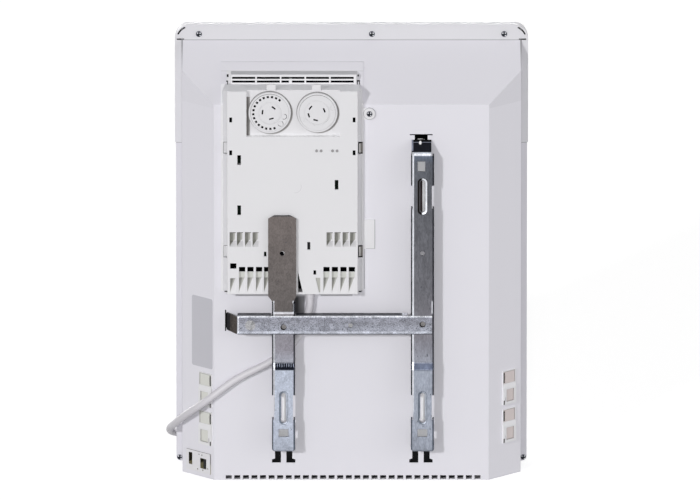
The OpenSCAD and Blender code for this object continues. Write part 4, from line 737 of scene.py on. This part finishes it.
def holder_layers(m):
    """Olive openings beside the clip plate's bridge, with painted shade at their upper ends."""
    along, out = m.facet(1)
    z = m.millimetres()[2]
    deep = m.within(out, None, 0.8, 0.05)
    upper = m.any([m.within(z, 14.5, None, 1.0), m.all([m.within(along, 28, None), m.within(z, 13, None)])])
    return [(deep, (0.24, 0.215, 0.13)), (m.all([deep, upper]), (0.03, 0.027, 0.018))]


def rivet_layers(m):
    """Clinch rivets: grey middle and a dark ring that is wider at the lower left."""
    rings = [m.disc(x - 0.5, z + 0.6, 2.3, None, 0.3)
             for x, z in ((LEFT_X, BAR_Z - 2), (RIGHT_X, BAR_Z + 0.9))]
    return [(m.maths("MINIMUM", rings[0], rings[1]), (0.015, 0.014, 0.014))]


def screw_look(name, node, columns):
    return moulded(name, SCREW_HEAD, grain=1500, rough=(0.3, 0.4), layers=screw_layers(node, columns))


def dial_look(name, x, radius, cuts):
    return moulded(name, DIAL_WHITE, grain=1800, rough=(0.36, 0.48), layers=dial_layers(x, radius, cuts))


# Looks of the material slots, and of the nodes that have their own

looks = {
    "painted_steel": painted("powder_coat", WHITE),
    "white_plastic": moulded("white_moulding", (0.715, 0.71, 0.74)),
    "knob_plastic": moulded("knob_moulding", (0.60, 0.60, 0.62), grain=1800, rough=(0.35, 0.5)),
    "rivet_steel": bare_metal("rivet_metal", (0.10, 0.10, 0.10), rough=0.42),
    "screw_steel": bare_metal("screw_metal", (0.16, 0.17, 0.20), rough=0.3),
    "inner_steel": bare_metal("inner_sheet", (0.02, 0.02, 0.022), rough=0.5, metallic=0.3,
                              stretch=(1, 1, 0.1), scale=220),
    "element_metal": bare_metal("element_fins", (0.05, 0.05, 0.052), rough=0.5, metallic=0.5,
                                stretch=(1, 1, 0.2), scale=300),
    # Board nearly black as painted shade, since it is seen only in the housing's dark cavity
    "circuit": moulded("circuit_laminate", (0.012, 0.02, 0.015), grain=900, depth=0.01, rough=(0.4, 0.5),
                       spread=0.15, cloud=60),
    "switch_plastic": moulded("dark_moulding", (0.03, 0.03, 0.032), grain=1500, rough=(0.4, 0.55),
                              spread=0.1),
    "pot_plastic": moulded("blue_moulding", (0.03, 0.05, 0.12), grain=1500, rough=(0.35, 0.5), spread=0.08),
    "terminal_plastic": moulded("black_moulding", (0.02, 0.02, 0.022), grain=1500),
    "cord_sheath": moulded("cord_sheath", CORD_GREY, grain=900, rough=(0.38, 0.52), spread=0.05, cloud=45),
    "wire_sheath": moulded("wire_sheath", (0.10, 0.02, 0.016), grain=1200, depth=0.01, rough=(0.3, 0.42),
                           spread=0.08),
}
lens = Nodes("amber_lens", (0.80, 0.34, 0.06), 0.12)
lens.colour(lens.mix(lens.noise(300, 2), (0.72, 0.28, 0.04), (0.86, 0.40, 0.08)))
lens.bsdf.inputs["Transmission Weight"].default_value = 0.35
looks["lens"] = lens.material

node_looks = {
    "rear_shell": painted("powder_coat_back", WHITE, layers=shell_layers),
    "control_housing": moulded("housing_moulding", (0.715, 0.71, 0.73), layers=housing_layers),
    # Hood: a darker copy of the white moulding, as painted shade
    "top_hood": moulded("hood_moulding_shaded", (0.645, 0.64, 0.67), layers=hood_layers),
    "temperature_dial": dial_look("dial_moulding", TEMP_X, TEMP_R, [(None, 10.2), (14.9, 17.9)]),
    "mode_dial": dial_look("mode_dial_moulding", MODE_X, MODE_R, [(None, 11.6)]),
    # Front panel: a darker copy of the powder coat, as painted shade on its rims
    "front_panel": painted("powder_coat_front_shaded", shade(WHITE, 0.90), layers=panel_layers),
    "hood_screws": screw_look("hood_screw_heads", "hood_screws", (-152.7, -20.4, 152.7)),
    "side_screws": screw_look("side_screw_heads", "side_screws", (-172.5, 172.5)),
    "housing_screw": screw_look("housing_screw_head", "housing_screw", (HOUSING_SCREW_X,)),
    "bracket_rivets": moulded("rivet_heads", (0.20, 0.19, 0.19), grain=1500, depth=0.04, rough=(0.35, 0.5),
                              spread=0.2, layers=rivet_layers),
    # Pins coloured grey as painted shade
    "limit_pins": moulded("pin_moulding", (0.30, 0.295, 0.30)),
    # Gland: its part inside the housing, above 204 mm, painted black as shade
    "cord_gland": moulded("gland_moulding", CORD_GREY, grain=900, rough=(0.38, 0.52), spread=0.05, cloud=45,
                          layers=lambda m: [(m.box(z=(204, None)), BLACK)]),
    "sensor_holder": moulded("holder_moulding", (0.73, 0.72, 0.745), layers=holder_layers),
    "foot_sockets_left": moulded("left_socket_moulding", (0.75, 0.745, 0.76),
                                 layers=socket_layers(1, 2.6, (0.66, 0.66, 0.62))),
    "foot_sockets_right": moulded("right_socket_moulding", (0.78, 0.775, 0.80),
                                  layers=socket_layers(-1, 19.0, (0.65, 0.58, 0.57))),
    # The uprights' stops hold painted light and shade: the black steps at 119 to 126 mm as dark reflection,
    # the bright bands at the neck and at the hook's top as highlights, and the left web as a lighter copy of
    # the zinc
    "left_upright": galvanised("zinc_left", 30, 290, [
        (34, shade(LIGHT_ZINC, 1.0)), (60, shade(LIGHT_ZINC, 1.28)), (118.4, shade(LIGHT_ZINC, 1.32)),
        (119.2, (0.004, 0.005, 0.008)), (126.2, (0.004, 0.005, 0.008)), (127, (0.30, 0.31, 0.36)),
        (140, (0.22, 0.21, 0.24)), (166, (0.20, 0.195, 0.215)), (176.6, (0.17, 0.16, 0.17)),
        (176.9, (0.6, 0.6, 0.64)), (178.6, (0.5, 0.5, 0.54)), (179.2, (0.10, 0.09, 0.088)),
        (277.4, (0.125, 0.107, 0.102)), (277.9, (0.05, 0.05, 0.055))],
        upright_layers(LEFT_X, 176.5, 0.5,
                       [(67.3, 92.8, 2.4, (0.17, 0.20, 0.25), (0.40, 0.43, 0.50))], comb=True),
        grain=(1.0, 1.0, 0.7), pits=0.29),
    "right_upright": galvanised("zinc_right", 30, 360, [
        (34, shade(LIGHT_ZINC, 0.78)), (60, shade(LIGHT_ZINC, 0.92)), (118.4, shade(LIGHT_ZINC, 0.92)),
        (119.2, (0.05, 0.06, 0.09)), (126.2, (0.06, 0.07, 0.10)), (127, (0.24, 0.25, 0.29)),
        (145, (0.19, 0.19, 0.22)), (155, (0.16, 0.155, 0.175)),
        (200, (0.11, 0.11, 0.125)), (300, (0.085, 0.088, 0.10)), (332, (0.080, 0.086, 0.102)),
        (339.4, (0.10, 0.12, 0.16)), (340.8, (0.85, 0.87, 0.93)), (342.8, (0.70, 0.74, 0.82)),
        (343.6, (0.02, 0.022, 0.035)), (356, (0.03, 0.032, 0.045))],
        upright_layers(RIGHT_X, 400, 0.7, [
            (67.3, 92.8, 2.4, (0.14, 0.165, 0.205), (0.36, 0.39, 0.45)),
            (284, 312, 2.9, (0.012, 0.010, 0.010), (0.80, 0.82, 0.87))], hooked=True), pits=0.31),
    "cross_bar": galvanised("zinc_bar", 150, 180, [
        (156, (0.235, 0.24, 0.28)), (162, (0.265, 0.275, 0.32)), (168, (0.215, 0.22, 0.255)),
        (172, (0.225, 0.23, 0.27))],
        bar_layers, grain=(0.8, 1.0, 1.0), speckle=0.25, pits=0.37, fine=1000),
}

slots = {part["node"]: part["material_slot"] for part in frame["record"]["subparts"]}
for name, obj in frame["nodes"].items():
    material = node_looks.get(name) or looks[slots[name]]
    for slot in obj.material_slots:
        slot.material = material
    if not obj.material_slots:
        obj.data.materials.append(material)


# Bare silver sticker on the left facet

sticker_look = moulded("sticker_film", (0.52, 0.515, 0.56), grain=700, depth=0.004, rough=(0.30, 0.36),
                       cloud=30)
sticker_outline = round_rect(29.4, 72.5, 2.2, cx=16.9, cy=150.2)
sticker_points = plate_points(sticker_outline, Vector((CREASE_X, BACK_Y, 0)),
                              Vector((FACET_SIN, -FACET_COS, 0)), Vector((0, 0, 1)),
                              Vector((FACET_COS, FACET_SIN, 0)), 0.16)
mesh_piece("plain_sticker", sticker_points, plate_faces(len(sticker_outline)), sticker_look)


# Mains lead: the points of its route, its coil and its end, from the frame of the back plate

CORD_D = 7.6
LEAD_ROUTE = [
    (41.5, 5.2, 191), (41.5, 5.2, 184), (42.6, 4.5, 176.5), (45.6, 4.1, 166), (51, 4, 154), (59, 4, 142),
    (68.5, 4, 132.5), (79.5, 4, 124.5), (92, 4, 117.5), (105.5, 4, 110.8), (118, 4.2, 103.6), (130, 4.9, 95),
    (141, 4.8, 86.5), (151, 1.2, 78.2), (160.5, -6.5, 69.8), (169, -17, 61), (175.6, -29.5, 52.2),
    (180, -43, 44.8), (182.1, -56.5, 38.8), (182.2, -69.5, 33.4), (179.6, -82, 28.4), (175, -94, 24),
    (168.5, -105, 17.8), (162.5, -115, 11.4), (159, -125, 6.2), (158, -133, 3.9), (158, -140, 3.9)]
COIL_X, COIL_Y, COIL_Z, COIL_R = 112.0, -147.0, 3.9, 46.0
COIL_STEP, COIL_TURNS, COIL_STEPS = 8.2, 2, 24
TAIL_START, TAIL_L, PLUG_R = 7, 60.0, 18.4


def coil_point(t):
    """Point after t turns: inwards on the floor, then outwards on top of the first turns."""
    inward = t if t < COIL_TURNS else 2 * COIL_TURNS - t
    climb = min(1, max(0, (t - COIL_TURNS + 0.25) * 2))
    r = COIL_R - COIL_STEP * inward
    a = 2 * math.pi * t
    return (COIL_X + r * math.cos(a), COIL_Y - r * math.sin(a), COIL_Z + COIL_STEP * climb)


coil = [coil_point(i / COIL_STEPS) for i in range(int((2 * COIL_TURNS + 0.25) * COIL_STEPS) + 1)]
end_x, end_y, end_z = coil[-1]
tail = [(end_x - CORD_D, end_y, end_z)]
for x in (TAIL_START, 15, 23, 30, 37, 45, 53, TAIL_L):
    share = min(1, max(0, (x - TAIL_START) / (TAIL_L - 2 * TAIL_START)))
    tail.append((end_x - CORD_D - x, end_y, end_z + (PLUG_R - end_z) * (1 - math.cos(math.pi * share)) / 2))
lead_points = [Vector((x, y + BACK_Y, z)) * MM for x, y, z in LEAD_ROUTE + coil + tail]

lead_curve = bpy.data.curves.new("mains_lead", "CURVE")
lead_curve.dimensions = "3D"
lead_curve.bevel_depth = CORD_D / 2 * MM
lead_curve.bevel_resolution = 6
lead_curve.resolution_u = 6
lead_curve.use_fill_caps = True
spline = lead_curve.splines.new("BEZIER")
spline.bezier_points.add(len(lead_points) - 1)
for knot, p in zip(spline.bezier_points, lead_points):
    knot.co = p
    knot.handle_left_type = knot.handle_right_type = "AUTO"
lead = link("mains_lead", lead_curve)
lead_curve.materials.append(looks["cord_sheath"])


# Tie round the coil's turns, with its lock on top and its end beside the lock

TIE_W, TIE_T, TIE_SINK = 4.2, 0.9, 0.6
bundle_low = COIL_R - 1.5 * COIL_STEP - CORD_D / 2
bundle_high = COIL_R - 0.5 * COIL_STEP + CORD_D / 2
bundle_top = COIL_Z + COIL_STEP + CORD_D / 2
TIE_X, TIE_Y = COIL_X - (bundle_low + bundle_high) / 2, COIL_Y + BACK_Y
TIE_Z = (bundle_top + TIE_SINK) / 2
TIE_BLOCKS = [(5.2, TIE_W + 1.4, 3.4, 1.5), (13.0, TIE_W - 0.6, 1.0, -3.5)]  # length, depth, height, shift


def loop_band(outer, inner, width):
    """Closed band: two outlines with the same number of points, carried across the given width."""
    k = len(outer)
    rings = [(outer, -width / 2), (outer, width / 2), (inner, width / 2), (inner, -width / 2)]
    points = [(TIE_X + a, TIE_Y + t, TIE_Z + b) for outline, t in rings for a, b in outline]
    faces = [[r * k + i, r * k + (i + 1) % k, (r + 1) % 4 * k + (i + 1) % k, (r + 1) % 4 * k + i]
             for r in range(4) for i in range(k)]
    return points, faces


span, rise = bundle_high - bundle_low, bundle_top - 2 * TIE_SINK
tie_points, tie_faces = loop_band(round_rect(span + 2 * TIE_T, rise + 2 * TIE_T, 4.2),
                                  round_rect(span, rise, 3.3), TIE_W)
for length, depth, height, x_off in TIE_BLOCKS:
    outline = round_rect(length, depth, 0.8, 3)
    tie_faces += plate_faces(len(outline), len(tie_points))
    tie_points += plate_points(outline, Vector((TIE_X + x_off, TIE_Y, bundle_top + 0.5)), Vector((1, 0, 0)),
                               Vector((0, 1, 0)), Vector((0, 0, 1)), height)
coil_tie = mesh_piece("coil_tie", tie_points, tie_faces, looks["switch_plastic"])
soften(coil_tie, 0.25)

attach(lead, "heater")
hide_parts("power_cord", "cord_coil", "cord_tail")


# Floor and world: pale to the rays that see them, and giving little light

FLOOR_GLOW = 0.72
WORLD_LIGHT = 0.27


def seen_rays(tree):
    """One for a ray of the camera, of a mirror image or through a clear material."""
    path = tree.nodes.new("ShaderNodeLightPath")
    seen = path.outputs["Is Camera Ray"]
    for kind in ("Is Glossy Ray", "Is Transmission Ray"):
        either = tree.nodes.new("ShaderNodeMath")
        either.operation = "MAXIMUM"
        tree.links.new(seen, either.inputs[0])
        tree.links.new(path.outputs[kind], either.inputs[1])
        seen = either.outputs[0]
    return seen


floor_mesh = bpy.data.meshes.new("floor")
floor_mesh.from_pydata([(-12, -14, 0), (12, -14, 0), (12, 10, 0), (-12, 10, 0)], [], [[0, 1, 2, 3]])
floor = link("floor", floor_mesh)
floor_material = bpy.data.materials.new("floor_white")
floor_material.use_nodes = True
tree = floor_material.node_tree
tree.nodes.clear()
output = tree.nodes.new("ShaderNodeOutputMaterial")
diffuse = tree.nodes.new("ShaderNodeBsdfDiffuse")
diffuse.inputs["Color"].default_value = (0.5, 0.5, 0.5, 1)
glow = tree.nodes.new("ShaderNodeEmission")
both = tree.nodes.new("ShaderNodeAddShader")
strength = tree.nodes.new("ShaderNodeMath")
strength.operation = "MULTIPLY"
strength.inputs[1].default_value = FLOOR_GLOW
tree.links.new(seen_rays(tree), strength.inputs[0])
tree.links.new(strength.outputs[0], glow.inputs["Strength"])
tree.links.new(diffuse.outputs[0], both.inputs[0])
tree.links.new(glow.outputs[0], both.inputs[1])
tree.links.new(both.outputs[0], output.inputs["Surface"])
floor_mesh.materials.append(floor_material)

world = bpy.data.worlds.new("studio")
bpy.context.scene.world = world
world.use_nodes = True
tree = world.node_tree
background = tree.nodes["Background"]
background.inputs["Color"].default_value = (1, 1, 1, 1)
level = tree.nodes.new("ShaderNodeMapRange")
level.inputs["To Min"].default_value = WORLD_LIGHT
level.inputs["To Max"].default_value = 1.0
tree.links.new(seen_rays(tree), level.inputs["Value"])
tree.links.new(level.outputs["Result"], background.inputs["Strength"])


# Lamps

def sun(name, azimuth, elevation, share, softness):
    """A lamp from azimuth degrees to the left of the camera; share is the light on a surface facing it."""
    lamp = bpy.data.lights.new(name, "SUN")
    lamp.energy = share * math.pi
    lamp.angle = math.radians(softness)
    obj = link(name, lamp)
    a, e = math.radians(azimuth), math.radians(elevation)
    towards = Vector((math.sin(a) * math.cos(e), math.cos(a) * math.cos(e), math.sin(e)))
    obj.rotation_mode = "QUATERNION"
    obj.rotation_quaternion = towards.to_track_quat("Z", "Y")


sun("key", 28, 18, 0.42, 4)
sun("camera_side", 0, 14.5, 0.30, 6)
sun("side_fill", -68, 12, 0.22, 50)
sun("front_key", 150, 14, 0.34, 20)
sun("front_fill", 215, 10, 0.20, 60)
sun("front_light", 180, 4, 0.20, 12)

bpy.context.scene.view_settings.view_transform = "Standard"
